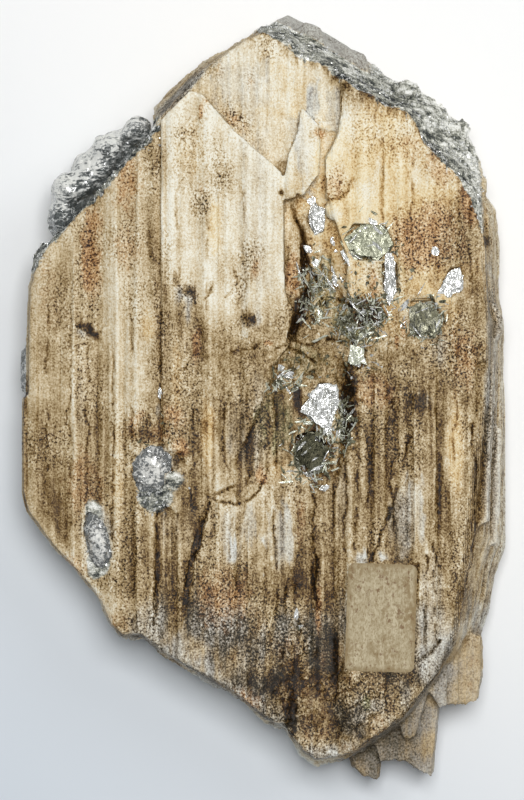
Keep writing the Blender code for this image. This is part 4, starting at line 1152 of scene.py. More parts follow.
    def healed(self, points: Array) -> Array:
        """Shuts the solid's grooves to hairlines, and breaks up the round floors of its pits."""
        moved = points.copy()
        reach = self.window
        spots = np.round((points[:, :2] - points[:, :2].min(axis=0)) / self.grid).astype(np.int64)
        heights = np.full(spots.max(axis=0) + 1, -1.0)
        np.maximum.at(heights, tuple(spots.T), points[:, 2])
        for pick in (np.max, np.min):
            padded = np.pad(heights, reach, mode="edge")
            rows = [padded[i:i + len(heights), reach:-reach] for i in range(2 * reach + 1)]
            heights = pick(rows, axis=0)
        level = heights[tuple(spots.T)]
        full, kept = (0.0, self.groove, 1.6, 3.2, 90.0), (0.0, self.groove, self.groove, 3.2, 90.0)
        depth = np.interp(level - points[:, 2], full, kept)
        upper = points[:, 2] > self.front_level
        groove = upper & (FRACTURE.reach(points) > 1.0) & (level > points[:, 2])
        moved[groove, 2] = level[groove] - depth[groove]
        near = WORN.reach(points)
        here = (points[:, 2] > self.front_level + 1.0) & (near < 1.2)
        padded = np.pad(heights, ((0, 0), (2 * reach, 2 * reach)), mode="edge")
        even = np.mean([padded[:, i:i + heights.shape[1]] for i in range(4 * reach + 1)], axis=0)
        moved[here, 2] += (even[tuple(spots[here].T)] - moved[here, 2]) * smoothstep(1.2, 0.7, near[here])
        crumbs = NOISE.chipped(points, 1.3, 90)
        for middle, radius, depth in HOLLOWS:
            away = np.hypot(*(points[:, :2] - np.asarray(middle)).T) + crumbs * 0.5
            level = np.median(points[upper & (away > radius + 0.4) & (away < radius + 1.8), 2])
            inside = upper & (away < radius + 0.6)
            floor = level - depth * smoothstep(radius + 0.6, radius * 0.3, away[inside])
            floor += crumbs[inside] * 0.3
            moved[inside, 2] = np.maximum(moved[inside, 2], floor)
        return moved

    def seated(self, points: Array) -> Array:
        """Carries the ground round the label's flat seat in to the label's edge."""
        outside = np.max(np.abs(turned(points, LABEL_MIDDLE, LABEL_TURN)) - np.asarray(LABEL_HALF), axis=1)
        upper = points[:, 2] > self.label_level
        near, far = self.label_ring
        ring = np.flatnonzero(upper & (outside > near) & (outside < far))
        here = np.flatnonzero(upper & (outside < near))
        tree = KDTree(len(ring))
        for number, index in enumerate(ring):
            tree.insert((points[index, 0], points[index, 1], 0.0), number)
        tree.balance()
        moved = points.copy()
        for index, share in zip(here, smoothstep(-0.3, 0.8, outside[here])):
            found = tree.find_n((points[index, 0], points[index, 1], 0.0), 5)
            level = np.mean([points[ring[number], 2] for _, number, _ in found])
            moved[index, 2] = self.label_seat + (level - self.label_seat) * share
        return moved

    def ground(self, points: Array) -> Array:
        """The grime of bare ground: low at the upper plates, higher towards the base and round the sides."""
        uneven = NOISE.swing(points, (5.0, 9.0, 5.0), 2, 21, 0.6)
        top = np.full(len(points), self.ground_grime)
        for patch in GROUNDS:
            top += (patch.amount - top) * smoothstep(1.25, 0.7, patch.reach(points) + uneven)
        return top + (self.wall_grime - top) * smoothstep(*self.walls_below, points[:, 2])

    def stained(self, points: Array, upward: Array) -> tuple[Array, Array, dict[str, Array]]:
        """Lays the stains, and the painted shadow among them, over the bare ground.

        Args:
            points: The skin's points.
            upward: How far each of them is part of the front.

        Returns:
            The grime, where soot and painted shadow lie, and the masks of the hues and specks.
        """
        uneven = NOISE.swing(points, (2.2, 4.0, 2.2), 3, 14, 0.8)
        crumbs = NOISE.swing(points, (0.8, 1.0, 0.8), 2, 34, 1.6)
        base = self.base(points)
        grime = self.ground(points) + NOISE.swing(points, (8.0, 10.0, 8.0), 3, 36, 0.8) * base
        masks = {name: np.zeros(len(points)) for name in ("cream", "olive", "grey", "rust", "speck")}
        soot_and_shadow = np.zeros(len(points))
        for stain in STAINS_AND_SHADOWS:
            local = turned(points, (stain.x, stain.y), stain.turn) / np.array((stain.across, stain.along))
            reach = np.linalg.norm(local, 5 if stain.tone is FROST else 2, axis=1) + uneven
            crisp = stain.tone in (SOOT, FROST)
            share = smoothstep(1.45, 0.95, reach + crumbs) if crisp else smoothstep(1.35, 0.35, reach)
            amount = stain.strength * share * upward
            if stain.tone is not SPECK:
                grime += (stain.tone.level - grime) * amount
                for name in ("cream", "olive", "grey", "rust"):
                    masks[name] *= 1.0 - 0.6 * amount
            for name, share in stain.tone.masks:
                masks[name] = np.maximum(masks[name], share * amount)
            if stain.tone is SOOT:
                soot_and_shadow = np.maximum(soot_and_shadow, amount)
        thick = smoothstep(0.4, 0.7, NOISE.layered(points, (7.0, 11.0, 7.0), 2, 35))
        thick *= smoothstep(0.2, 0.5, grime)
        clouds = NOISE.layered(points, (7.0, 8.0, 7.0), 2, 37)
        for name, least in (
            ("grey", 0.45 * (1.0 - upward)),
            ("speck", 0.55 * thick),
            ("grey", base * (0.3 + 0.3 * smoothstep(0.42, 0.62, clouds))),
            ("rust", base * upward * smoothstep(0.50, 0.34, clouds) * 0.3),
            ("grey", 0.85 * self.outer_lath(points)),
        ):
            masks[name] = np.maximum(masks[name], least)
        return grime, soot_and_shadow, masks

    def lined(self, points: Array, upward: Array, grime: Array) -> Array:
        """The grime with dirt in the cracks and at the rind's border, and with painted highlight along the
        crests.
        """
        crack_mask = np.zeros(len(points))
        wander, force = self.wander(points)
        for crack in CRACKS:
            share = smoothstep(crack.width * 0.8 + 0.3, 0.05, path_distance(points + wander, crack.path))
            crack_mask = np.maximum(crack_mask, share * force * min(1.0, 0.35 + 0.6 * crack.depth))
        grime = grime + (self.crack_grime - grime) * crack_mask * upward * 0.85
        # painted highlight: the crests are lightened towards the pale crest level
        for crest in CRESTS:
            share = smoothstep(0.6, 0.1, path_distance(points + wander * 0.5, crest)) * upward
            grime += (self.crest_highlight - grime) * share * 0.5 * (0.3 + 0.7 * force)
        border = smoothstep(1.8, 0.2, np.abs(self.past_edge(points))) * self.right(points) * upward
        return grime + 0.5 * border * smoothstep(0.4, 0.6, NOISE.layered(points, (0.9, 0.9, 0.9), 2, 29))

    def crusted(self, points: Array) -> Array:
        """The grime of the rind: darkest by the quartz and along its shore with the front face."""
        beside = smoothstep(4.5, 1.5, path_distance(points, CRUST_EDGE))
        shore = smoothstep(5.0, 1.0, np.abs(self.past_edge(points) - 1.5)) * self.right(points)
        grainy = smoothstep(0.02, 0.2, patch_amount(points, GRAINY, 38))
        return np.maximum(np.maximum(0.86 * beside, 0.40 + 0.28 * shore), 0.62 * grainy)

    def hollows(self, mesh: bpy.types.Mesh) -> Array:
        """Hollowness against a slightly and a strongly smoothed copy: dirt with painted shade in hollows,
        painted highlight on ridges.
        """
        points, normals = points_of(mesh), normals_of(mesh)
        edges = np.empty(len(mesh.edges) * 2, dtype=np.int64)
        mesh.edges.foreach_get("vertices", edges)
        a, b = edges.reshape(-1, 2).T
        count = np.maximum(np.bincount(np.concatenate([a, b]), minlength=len(points)), 1)
        hollow = np.zeros(len(points))
        for rounds, depth, deepest, weight in ((2, 0.10, 1.0, 0.08), (14, 0.45, 1.2, 0.16)):
            smooth = points
            for _ in range(rounds):
                total = np.zeros_like(points)
                for axis in range(3):
                    total[:, axis] = np.bincount(a, smooth[b, axis], len(points))
                    total[:, axis] += np.bincount(b, smooth[a, axis], len(points))
                smooth = total / count[:, None]
            relief = np.einsum("ij,ij->i", smooth - points, normals)
            hollow += np.clip(relief / depth, -1.0, deepest) * weight
        return hollow

    def dress(self, mesh: bpy.types.Mesh) -> None:
        """Paints the masks that the finish and the loose mica read."""
        points, normals = points_of(mesh), normals_of(mesh)
        x, y, z = points.T
        upward = smoothstep(*self.stains_from, z) * smoothstep(-0.3, 0.15, normals[:, 2])
        grime, soot_and_shadow, masks = self.stained(points, upward)
        fresh = self.fresh(points)
        masks["speck"] *= 1.0 - 0.8 * fresh
        grime = self.lined(points, upward, grime)
        rind = self.rind(points)
        grime += (self.crusted(points) - grime) * rind
        masks["rind"] = rind
        masks["glitter"] = rind * smoothstep(0.46, 0.62, NOISE.layered(points, (3.0, 5.0, 3.0), 2, 27))

        strayed = y + NOISE.swing(points, (9.0, 9.0, 9.0), 2, 33, 24.0)
        streaky = smoothstep(8.0, -10.0, strayed) * smoothstep(-54.0, -38.0, strayed)
        lath = self.outer_lath(points)
        # dirt with painted shade darkens the hollows, and painted highlight lightens the ridges
        grime += self.hollows(mesh) * (1.0 - 0.5 * (1.0 - streaky) * upward)
        grime += (0.45 + 0.18 * smoothstep(42.0, 36.0, x) - grime) * fresh * 0.8
        grime += (0.34 - grime) * lath
        # this mask holds stains and dirt, and also painted shade in the hollows, painted shadow beside the
        # central mica book and painted highlight on the crests
        masks["grime"] = grime
        busy = (0.40 + 0.4 * smoothstep(0.15, 0.45, grime)) * (1.0 - 0.6 * fresh) * (1.0 - 0.5 * lath)
        busy *= 1.0 - 0.2 * smoothstep(-28.0, -36.0, x)
        masks["busy"] = busy * (1.0 + 0.12 * self.base(points)) * (1.0 - 0.6 * soot_and_shadow)
        calm = 0.58 * smoothstep(10.0, 18.0, x) + 0.38 * smoothstep(-22.0, -32.0, x)
        streaks = 0.36 + np.maximum(0.52 - 0.34 * (1.0 - streaky) - calm, -0.16) * upward
        masks["streaks"] = streaks * (1.0 - 0.3 * fresh)
        open_top = smoothstep(*self.mica_from, z) * smoothstep(0.1, 0.5, normals[:, 2])
        for name, zones in (("flakes", FLAKE_ZONES), ("blades", BLADE_ZONES)):
            masks[name] = patch_amount(points, zones, 15) * open_top
        for name, values in masks.items():
            paint(mesh, name, values)


@dataclass
class QuartzPiece:
    """A lump of vein quartz: the CAD solid remeshed, broken into glassy facets and let into its bed."""

    node: str
    facet: float
    relief: float
    voxel: float = 0.5
    grow: float = 0.3
    triangles: int = 9000
    sharp: float = 24.0
    closing: float = 0.0
    banded: bool = False

    def build(self, finish: bpy.types.Material) -> bpy.types.Object:
        """The piece's mesh, in place of its CAD node."""
        obj = merged_copy(self.node, f"{self.node}_broken")
        for step in ((self.closing, -self.closing) if self.closing else ()):
            remeshed(obj, self.voxel)
            set_points(obj.data, points_of(obj.data) + normals_of(obj.data) * step)
        remeshed(obj, self.voxel)
        points, normals = points_of(obj.data), normals_of(obj.data)
        chips = NOISE.chipped(points, self.facet, 50) + 0.35 * NOISE.chipped(points, self.facet * 0.4, 60)
        moved = points + normals * (self.grow + chips * self.relief)[:, None]
        keep_inside(obj.data, moved, CAD_BOX)
        thinned(obj, self.triangles)
        shade(obj.data, self.sharp)
        points = points_of(obj.data)
        if self.banded:
            milk = 0.25 + 0.45 * smoothstep(0.5, 7.0, path_distance(points, CRUST_EDGE))
        else:
            middle = (points.min(axis=0) + points.max(axis=0)) / 2
            half = (points.max(axis=0) - points.min(axis=0)) / 2
            # painted shade: a grain's milk falls towards its rim, so the rim shows clear and dark
            milk = 0.42 + 0.33 * smoothstep(0.9, 0.25, np.hypot(*((points - middle) / half)[:, :2].T))
        paint(obj.data, "milk", milk)
        return finished(obj, finish, [self.node])


@dataclass(frozen=True)
class Foil:
    """One ragged, crumpled sheet of mica as a thin closed plate."""

    thickness: float = 0.09
    wave: float = 0.16
    crumple: float = 0.07
    rings: int = 7
    segments: int = 36

    def make(self, outline: Array, chance: np.random.Generator, tear: float) -> Sheet:
        """The sheet round its own middle.

        Args:
            outline: Offsets of the edge from the middle, one row for each segment.
            chance: The random numbers to draw from.
            tear: How far out it may be torn off along a line; 1 keeps it whole.

        Returns:
            Its points and faces.
        """
        count = self.segments
        edge = outline * (1.0 + chance.uniform(-0.05, 0.05, count))[:, None]
        facing = chance.uniform(0.0, 2.0 * math.pi)
        across = np.array([math.cos(facing), math.sin(facing)])
        limit = np.abs(edge @ across).max() * chance.uniform(tear, 1.0)
        edge = edge - np.maximum(edge @ across - limit, 0.0)[:, None] * across
        place = chance.uniform(0.0, 500.0)
        flat = np.concatenate([edge * (ring / self.rings) for ring in range(self.rings + 1)])
        grain = chance.uniform(0.0, math.pi)
        across = flat @ np.array([math.cos(grain), math.sin(grain)])
        along = flat @ np.array([-math.sin(grain), math.cos(grain)])
        probe = np.column_stack([across, along, np.full(len(flat), place)])
        lift = NOISE.swing(probe, (2.2, 3.0, 1.0), 1, 70, 2.0) * self.wave
        lift += NOISE.swing(probe, (0.5, 2.4, 1.0), 2, 71, 3.0) * self.crumple
        rows = [np.column_stack([flat, height + lift]) for height in (self.thickness, 0.0)]
        steps = [(i, (i + 1) % count) for i in range(count)]
        starts = range(0, self.rings * count, count)
        quads = [(a + i, a + count + i, a + count + j, a + j) for a in starts for i, j in steps]
        rim = self.rings * count
        return np.concatenate(rows), plate_faces(quads, range(rim, rim + count), rim + count)


def round_outline(corners: Array, count: int) -> Array:
    """Evenly spaced points round a closed outline."""
    closed = np.concatenate([corners, corners[:1]])
    marks = np.concatenate([[0.0], np.cumsum(np.hypot(*np.diff(closed, axis=0).T))])
    at = np.linspace(0.0, marks[-1], count, endpoint=False)
    return np.stack([np.interp(at, marks, closed[:, axis]) for axis in (0, 1)], axis=1)


def joined_foils(name: str, sheets: Sequence[Sheet]) -> bpy.types.Mesh:
    """Many sheets as one mesh, their middles closed to points."""
    faces: list[list[int]] = []
    start = 0
    for points, sheet_faces in sheets:
        faces += [[start + i for i in face] for face in sheet_faces]
        start += len(points)
    mesh = mesh_from(name, np.concatenate([points for points, _ in sheets]), faces)
    with edited(mesh) as work:
        bmesh.ops.remove_doubles(work, verts=work.verts, dist=1e-8)
        bmesh.ops.dissolve_degenerate(work, edges=work.edges, dist=1e-8)
        bmesh.ops.recalc_face_normals(work, faces=work.faces)
    shade(mesh, 24.0)
    return mesh


@dataclass
class MicaBook:
    """A book of muscovite: ragged sheets on one another, in place of its CAD node."""

    node: str
    outline: tuple[Point2, ...]
    foot: float
    top: float
    lean: Point2
    sheets: int = 12
    dip: float = 0.0
    strike: float = 0.0
    tear: float = 0.35
    crumple: float = 0.08
    wave: float = 0.18
    ragged: float = 0.16
    bays: int = 14
    # how much each sheet strays from the last: the reach of its corners, its bays, tilt and place
    corner_strays: Point2 = (-0.16, 0.14)
    bay_strays: Point2 = (-1.3, 0.7)
    tilt_strays: Point2 = (-6.0, 6.0)
    place_strays: Point2 = (-0.45, 0.45)

    def build(self, finish: bpy.types.Material) -> bpy.types.Object:
        """The book's mesh, leaning as its solid does, or dipping on edge."""
        chance = np.random.default_rng(sum(map(ord, self.node)))
        pitch = (self.top - self.foot) / self.sheets * (1.6 if self.dip else 1.0)
        foil = Foil(pitch * 0.45, self.wave, self.crumple)
        corners = np.array(self.outline)
        middle = np.array([*corners.mean(axis=0), (self.foot + self.top) / 2])
        turn = turns(
            (self.strike, "Z"), (self.dip, "X"), (-self.strike, "Z"), (self.lean[1], "Y"), (self.lean[0], "X")
        )
        made = []
        for number in range(self.sheets):
            share = number / (self.sheets - 1)
            size = 0.8 if self.dip else 1.14 - 0.16 * share
            size = size + chance.uniform(*self.corner_strays, len(corners))
            edge = round_outline((corners - middle[:2]) * size[:, None], foil.segments)
            bays = chance.uniform(*self.bay_strays, self.bays) * self.ragged
            round_it = np.linspace(0.0, self.bays, foil.segments, endpoint=False)
            bays = np.interp(round_it, range(self.bays + 1), [*bays, bays[0]])
            points, faces = foil.make(edge * (1.0 + bays)[:, None], chance, 1.0 - (1.0 - self.tear) * share)
            tilt = turns(*((chance.uniform(*self.tilt_strays), axis) for axis in "XY"))
            rise = (number - (self.sheets - 1) / 2) * pitch
            drift = np.array([*chance.uniform(*self.place_strays, 2) * share, rise])
            made.append(((points @ tilt.T + drift) @ turn.T + middle, faces))
        mesh = joined_foils(f"{self.node}_sheets", made)
        return finished(new_object(f"{self.node}_sheets", mesh), finish, [self.node])


class Flake(NamedTuple):
    """A single flake lying on the crystal: place, half length and half width, turn and tilt in degrees."""

    middle: Point2
    half: Point2
    turn: float
    tilt: Point2

    @classmethod
    def between(cls, start: Point2, end: Point2, width: float) -> "Flake":
        """A narrow blade that runs from one point to another."""
        run = Vector(end) - Vector(start)
        middle = ((start[0] + end[0]) / 2, (start[1] + end[1]) / 2)
        return cls(middle, (width / 2, run.length / 2), math.degrees(math.atan2(-run.x, run.y)), (0.0, 14.0))


@dataclass
class LooseFlakes:
    """Flakes of muscovite that stand out one by one along the fracture."""

    name: str
    flakes: tuple[Flake, ...]
    sheets: int = 3
    corners: int = 7
    pitch: float = 0.14
    # from how high its ground is looked for, how high above it a flake lies, and where there is none
    rays_from: float = 60.0
    gap: float = 0.02
    elsewhere: float = 38.0

    def build(self, grounds: Sequence[bpy.types.Object], finish: bpy.types.Material) -> bpy.types.Object:
        """Each flake as a few crumpled sheets set on whatever lies highest under it."""
        chance = np.random.default_rng(len(self.flakes))
        made = []
        foil = Foil(thickness=0.07, wave=0.12, crumple=0.10, rings=5, segments=22)
        for flake in self.flakes:
            start = Vector((flake.middle[0] * MM, flake.middle[1] * MM, self.rays_from * MM))
            hits = [ground.ray_cast(start, Vector((0.0, 0.0, -1.0))) for ground in grounds]
            height = max((place.z / MM for hit, place, _, _ in hits if hit), default=self.elsewhere)
            turn = turns((flake.turn, "Z"), (flake.tilt[0], "X"), (flake.tilt[1], "Y"))
            for number in range(self.sheets):
                angles = np.linspace(0.0, 2.0 * math.pi, self.corners, endpoint=False)
                angles = angles + chance.uniform(-0.35, 0.35, self.corners)
                reach = chance.uniform(0.7, 1.2, self.corners) * (1.0 - 0.13 * number)
                edge = np.column_stack([np.cos(angles) * flake.half[0], np.sin(angles) * flake.half[1]])
                edge = round_outline(edge * reach[:, None], foil.segments)
                points, faces = foil.make(edge, chance, 0.6)
                drift = np.array([*chance.uniform(-0.2, 0.2, 2), self.pitch * number])
                at = np.array([*flake.middle, height + self.gap])
                made.append(((points + drift) @ turn.T + at, faces))
        mesh = joined_foils(self.name, made)
        keep_inside(mesh, points_of(mesh), CAD_BOX)
        return finished(new_object(self.name, mesh), finish)


@dataclass
class Scatter:
    """Small pieces strewn over a surface by Geometry Nodes, thick where a painted mask is strong."""

    name: str
    mask: str
    per_square_metre: float
    sizes: Point2
    tilt: float
    thickness: float = 0.07
    ratio: Point2 = (0.5, 0.95)
    shapes: int = 4
    sides: int = 7
    seed: int = 3

    def shape(self, number: int) -> bpy.types.Object:
        """One unit-sized chip: an irregular plate, slightly bent."""
        chance = np.random.default_rng(self.seed * 100 + number)
        angles = np.sort(chance.uniform(0.0, 2.0 * math.pi, self.sides) * 0.25 + np.linspace(
            0.0, 2.0 * math.pi * 0.75, self.sides
        ))
        reach = chance.uniform(0.35, 0.62, self.sides)
        ring = np.column_stack([np.cos(angles) * reach, np.sin(angles) * reach * chance.uniform(*self.ratio)])
        bend = chance.uniform(-0.25, 0.25, 2)
        rows = []
        for height in (self.thickness / 2, -self.thickness / 2):
            rows.append(np.column_stack([ring, height + (ring * bend).sum(axis=1)]))
            rows.append(np.array([[0.0, 0.0, height + chance.uniform(-0.02, 0.02)]]))
        points = np.concatenate(rows)
        count = self.sides
        faces = []
        for i in range(count):
            j = (i + 1) % count
            faces.append([i, j, count])
            faces.append([count + 1 + j, count + 1 + i, 2 * count + 1])
            faces.append([i, count + 1 + i, count + 1 + j, j])
        mesh = mesh_from(f"{self.name}_shape_{number}", points, faces)
        return bpy.data.objects.new(mesh.name, mesh)

    def tree(self, shapes: bpy.types.Collection, finish: bpy.types.Material) -> bpy.types.NodeTree:
        """The node tree: points on faces, a chip on each, turned to the face and tilted.

        Args:
            shapes: The chips to choose from.
            finish: What the chips are made of.

        Returns:
            The tree, with named inputs for density, sizes, tilt and seed.
        """
        tree = bpy.data.node_groups.new(self.name, "GeometryNodeTree")
        face = tree.interface
        face.new_socket("Geometry", in_out="INPUT", socket_type="NodeSocketGeometry")
        for label in ("Density", "Smallest", "Largest", "Tilt"):
            face.new_socket(label, in_out="INPUT", socket_type="NodeSocketFloat")
        face.new_socket("Seed", in_out="INPUT", socket_type="NodeSocketInt")
        face.new_socket("Geometry", in_out="OUTPUT", socket_type="NodeSocketGeometry")
        start = tree.nodes.new("NodeGroupInput").outputs
        thick = add(
            tree, "GeometryNodeInputNamedAttribute", {"Name": self.mask}, {"data_type": "FLOAT"}, "Attribute"
        )
        rate = add(tree, "ShaderNodeMath", {0: start["Density"], 1: thick}, {"operation": "MULTIPLY"})
        spots = add(
            tree, "GeometryNodeDistributePointsOnFaces",
            {"Mesh": start["Geometry"], "Density": rate, "Seed": start["Seed"]}, out="Points",
        )
        level = add(tree, "ShaderNodeMath", {0: start["Tilt"], 1: -1.0}, {"operation": "MULTIPLY"})
        low = add(tree, "ShaderNodeCombineXYZ", {"X": level, "Y": level, "Z": -math.pi})
        high = add(tree, "ShaderNodeCombineXYZ", {"X": start["Tilt"], "Y": start["Tilt"], "Z": math.pi})
        euler = add(
            tree, "FunctionNodeRandomValue", {"Min": low, "Max": high, "Seed": start["Seed"]},
            {"data_type": "FLOAT_VECTOR"}, "Value",
        )
        turn = add(tree, "FunctionNodeEulerToRotation", {"Euler": euler})
        facing = add(
            tree, "FunctionNodeAlignRotationToVector", {"Vector": spots.node.outputs["Normal"]}, {"axis": "Z"}
        )
        facing = add(tree, "FunctionNodeRotateRotation", {"Rotation": facing, "Rotate By": turn}, {
            "rotation_space": "LOCAL"
        })
        size = add(
            tree, "FunctionNodeRandomValue",
            {"Min_001": start["Smallest"], "Max_001": start["Largest"], "Seed": start["Seed"]},
            {"data_type": "FLOAT"}, "Value_001",
        )
        chips = add(
            tree, "GeometryNodeCollectionInfo",
            {"Collection": shapes, "Separate Children": True, "Reset Children": True},
        )
        placed = add(
            tree, "GeometryNodeInstanceOnPoints",
            {"Points": spots, "Instance": chips, "Pick Instance": True, "Rotation": facing, "Scale": size},
        )
        real = add(tree, "GeometryNodeRealizeInstances", {"Geometry": placed})
        dressed = add(tree, "GeometryNodeSetMaterial", {"Geometry": real, "Material": finish})
        end = tree.nodes.new("NodeGroupOutput")
        tree.links.new(dressed, end.inputs[0])
        return tree

    def build(self, ground: bpy.types.Object, finish: bpy.types.Material) -> bpy.types.Object:
        """Strews the chips over a piece and keeps them as one plain mesh."""
        shapes = bpy.data.collections.new(f"{self.name}_shapes")
        for number in range(self.shapes):
            shapes.objects.link(self.shape(number))
        tree = self.tree(shapes, finish)
        carrier = new_object(self.name, ground.data.copy())
        modifier = carrier.modifiers.new(self.name, "NODES")
        modifier.node_group = tree
        values = {
            "Density": self.per_square_metre, "Smallest": self.sizes[0], "Largest": self.sizes[1],
            "Tilt": math.radians(self.tilt), "Seed": self.seed,
        }
        for item in tree.interface.items_tree:
            if item.in_out == "INPUT" and item.name in values:
                modifier[item.identifier] = values[item.name]
        settled(carrier, modifier)
        for shape in list(shapes.objects):
            bpy.data.objects.remove(shape)
        bpy.data.collections.remove(shapes)
        bpy.data.node_groups.remove(tree)
        keep_inside(carrier.data, points_of(carrier.data), CAD_BOX)
        return finished(carrier, finish)


@dataclass
class PaperLabel:
    """The hand-cut paper label, glued over the laths: bare, browned, and worn where ridges lift it."""

    finish: AgedPaper
    node: str = "paper_label"
    corner: float = 1.7
    thickness: float = 0.14
    height: float = 38.86
    columns: int = 48
    rows: int = 72
    # ridges under the sheet: distance from its middle in half widths, and height in millimetres
    ridges: tuple[Point2, ...] = ((-0.32, 0.16), (0.18, 0.07), (0.62, 0.09), (0.86, 0.06))
    ridge_width: float = 0.55
    # how far the sheet's edge is ragged, and how far it is pressed down
    ragged: float = 0.22
    pressed: float = 0.10

    def build(self) -> bpy.types.Object:
        """The label as a thin closed sheet that follows the laths under it."""
        half_x, half_y = LABEL_HALF
        u, v = np.meshgrid(np.linspace(-1, 1, self.columns), np.linspace(-1, 1, self.rows))
        x, y = u.ravel() * half_x, v.ravel() * half_y
        flat = np.stack([x, y, np.zeros_like(x)], axis=1)
        room = np.stack([half_x - np.abs(x), half_y - np.abs(y)], axis=1)
        in_corner = np.all(room < self.corner, axis=1)
        away = self.corner - room
        reach = np.hypot(away[:, 0], away[:, 1])
        pull = np.where(in_corner & (reach > self.corner), self.corner / np.maximum(reach, 1e-6), 1.0)
        x = np.where(in_corner, np.sign(x) * (half_x - self.corner + away[:, 0] * pull), x)
        y = np.where(in_corner, np.sign(y) * (half_y - self.corner + away[:, 1] * pull), y)
        ragged = NOISE.swing(flat, (1.2, 1.2, 1.2), 2, 80, self.ragged)
        edge = np.min(room, axis=1) < 1e-6
        x, y = x * (1 + edge * ragged / half_x), y * (1 + edge * ragged / half_y)

        ridge = np.zeros_like(x)
        for place, tall in self.ridges:
            gap = u.ravel() - place + 0.02 * np.sin(v.ravel() * 4.0 + place * 9.0)
            ridge += tall * np.exp(-((gap * half_x / self.ridge_width) ** 2))
        level = self.height + ridge + NOISE.swing(flat, (2.5, 9.0, 1.0), 2, 81, 0.16)
        level -= self.pressed * smoothstep(1.2, 0.0, np.min(room, axis=1))
        angle = math.radians(LABEL_TURN)
        placed = np.stack([
            LABEL_MIDDLE[0] + x * math.cos(angle) - y * math.sin(angle),
            LABEL_MIDDLE[1] + x * math.sin(angle) + y * math.cos(angle),
            level,
        ], axis=1)
        under = placed - np.array([0.0, 0.0, self.thickness])
        grid = np.arange(self.columns * self.rows).reshape(self.rows, self.columns)
        quads = np.stack([grid[:-1, :-1], grid[:-1, 1:], grid[1:, 1:], grid[1:, :-1]], axis=2)
        rim = [*grid[0], *grid[1:, -1], *grid[-1, -2::-1], *grid[-2:0:-1, 0]]
        faces = plate_faces(quads.reshape(-1, 4), rim, grid.size)
        mesh = mesh_from("label_sheet", np.concatenate([placed, under]), faces)
        worn = smoothstep(0.08, 0.2, ridge + NOISE.swing(flat, (0.8, 5.0, 1.0), 2, 82, 0.12))
        dirt = smoothstep(1.6, 0.1, np.min(room, axis=1)) * 0.7
        paint(mesh, "worn", np.tile(worn * 0.35, 2))
        paint(mesh, "dirt", np.tile(dirt, 2))
        shade(mesh, 40.0)
        return finished(new_object("label_sheet", mesh), self.finish.make(), [self.node])


@dataclass
class Studio:
    """The pale floor with painted shade, the soft lights and the camera straight above."""

    camera_at: Point3 = (-0.0005, -0.000875, 1.0)
    lens: float = 176.4
    floor_half: float = 1.6
    floor_light: str = "#FCFCFB"
    floor_shade: str = "#D1D9E1"
    # each lamp: its name, place, size, power and colour
    lamps: tuple[tuple[str, Point3, float, float, Point3], ...] = (
        ("key", (0.55, 0.45, 0.95), 0.5, 2.0, (1.0, 0.99, 0.97)),
        ("overhead", (0.05, 0.20, 1.45), 0.45, 15.6, (1.0, 1.0, 1.0)),
    )
    sky: tuple[float, float, float, float] = (0.94, 0.97, 1.0, 1.0)
    sky_strength: float = 0.17

    def floor(self) -> bpy.types.Object:
        """The floor: one wide sheet of pale board with painted shade, a little bluer and darker towards the
        lower left.
        """
        half = self.floor_half / MM
        corners = [(-half, -half, 0.0), (half, -half, 0.0), (half, half, 0.0), (-half, half, 0.0)]
        made = new_object("floor", mesh_from("floor", np.array(corners), [[0, 1, 2, 3]]))
        look = Look("pale board")
        place = add(look.tree, "ShaderNodeTexCoord", out="Object")
        along = add(
            look.tree, "ShaderNodeVectorMath", {0: place, 1: (0.65, 0.76, 0.0)},
            {"operation": "DOT_PRODUCT"}, "Value",
        )
        # painted shade: the board's colour falls from floor_light to the bluer, darker floor_shade towards
        # the lower left, as the light falls off
        colour = look.over(linear(self.floor_shade), linear(self.floor_light), look.soft(along, -0.15, 0.075))
        made.data.materials.append(look.made({"Base Color": colour, "Roughness": 0.9}))
        return made

    def light(self, name: str, at: Point3, size: float, power: float, colour: Point3) -> bpy.types.Object:
        """A square soft light that faces the crystal."""
        data = bpy.data.lights.new(name, "AREA")
        data.shape = "SQUARE"
        data.size = size
        data.energy = power
        data.color = colour
        lamp = new_object(name, data)
        lamp.location = at
        lamp.rotation_euler = Vector(at).to_track_quat("Z", "Y").to_euler()
        return lamp

    def build(self) -> None:
        """Sets up the floor, the lights, the sky and the camera."""
        self.floor()
        for lamp in self.lamps:
            self.light(*lamp)
        world = bpy.data.worlds.new("studio")
        world.use_nodes = True
        back = world.node_tree.nodes["Background"]
        back.inputs["Color"].default_value = self.sky
        back.inputs["Strength"].default_value = self.sky_strength
        scene = bpy.context.scene
        scene.world = world
        data = bpy.data.cameras.new("camera")
        data.lens = self.lens
        data.sensor_width = 36.0
        scene.camera = new_object("camera", data)
        scene.camera.location = self.camera_at
        scene.view_settings.view_transform = "Standard"


SMOKY_QUARTZ = VeinQuartz(
    "smoky vein quartz", "#D0D6D6", "#F2F2EC", 40.0, 0.82, (2.6, 0.9, 1.4), smoke="#6F7A7E", specks=0.25,
    turn=-0.87,
)
MILKY_QUARTZ = VeinQuartz(
    "milky vein quartz", "#C4C8C8", "#EFEEE8", 25.0, 0.45, (1.7, 1.9, 1.7), clarity=0.75
)
# the silvery mica's near-white sheet colour is painted reflection as well as its own silver colour: it stands
# in for the glare of the sheets
SILVER = Muscovite("silvery muscovite", "#F4F5F3", "#85857D", 0.35, 0.16)
PALE_GREEN = Muscovite("pale green muscovite", "#E6E8D8", "#969A82", 0.25, 0.2)
GREEN = Muscovite("greenish muscovite", "#BFC0A8", "#7E8169", 0.25, 0.24)
OLIVE = Muscovite("olive muscovite", "#8B8970", "#28291F", 0.2, 0.26)

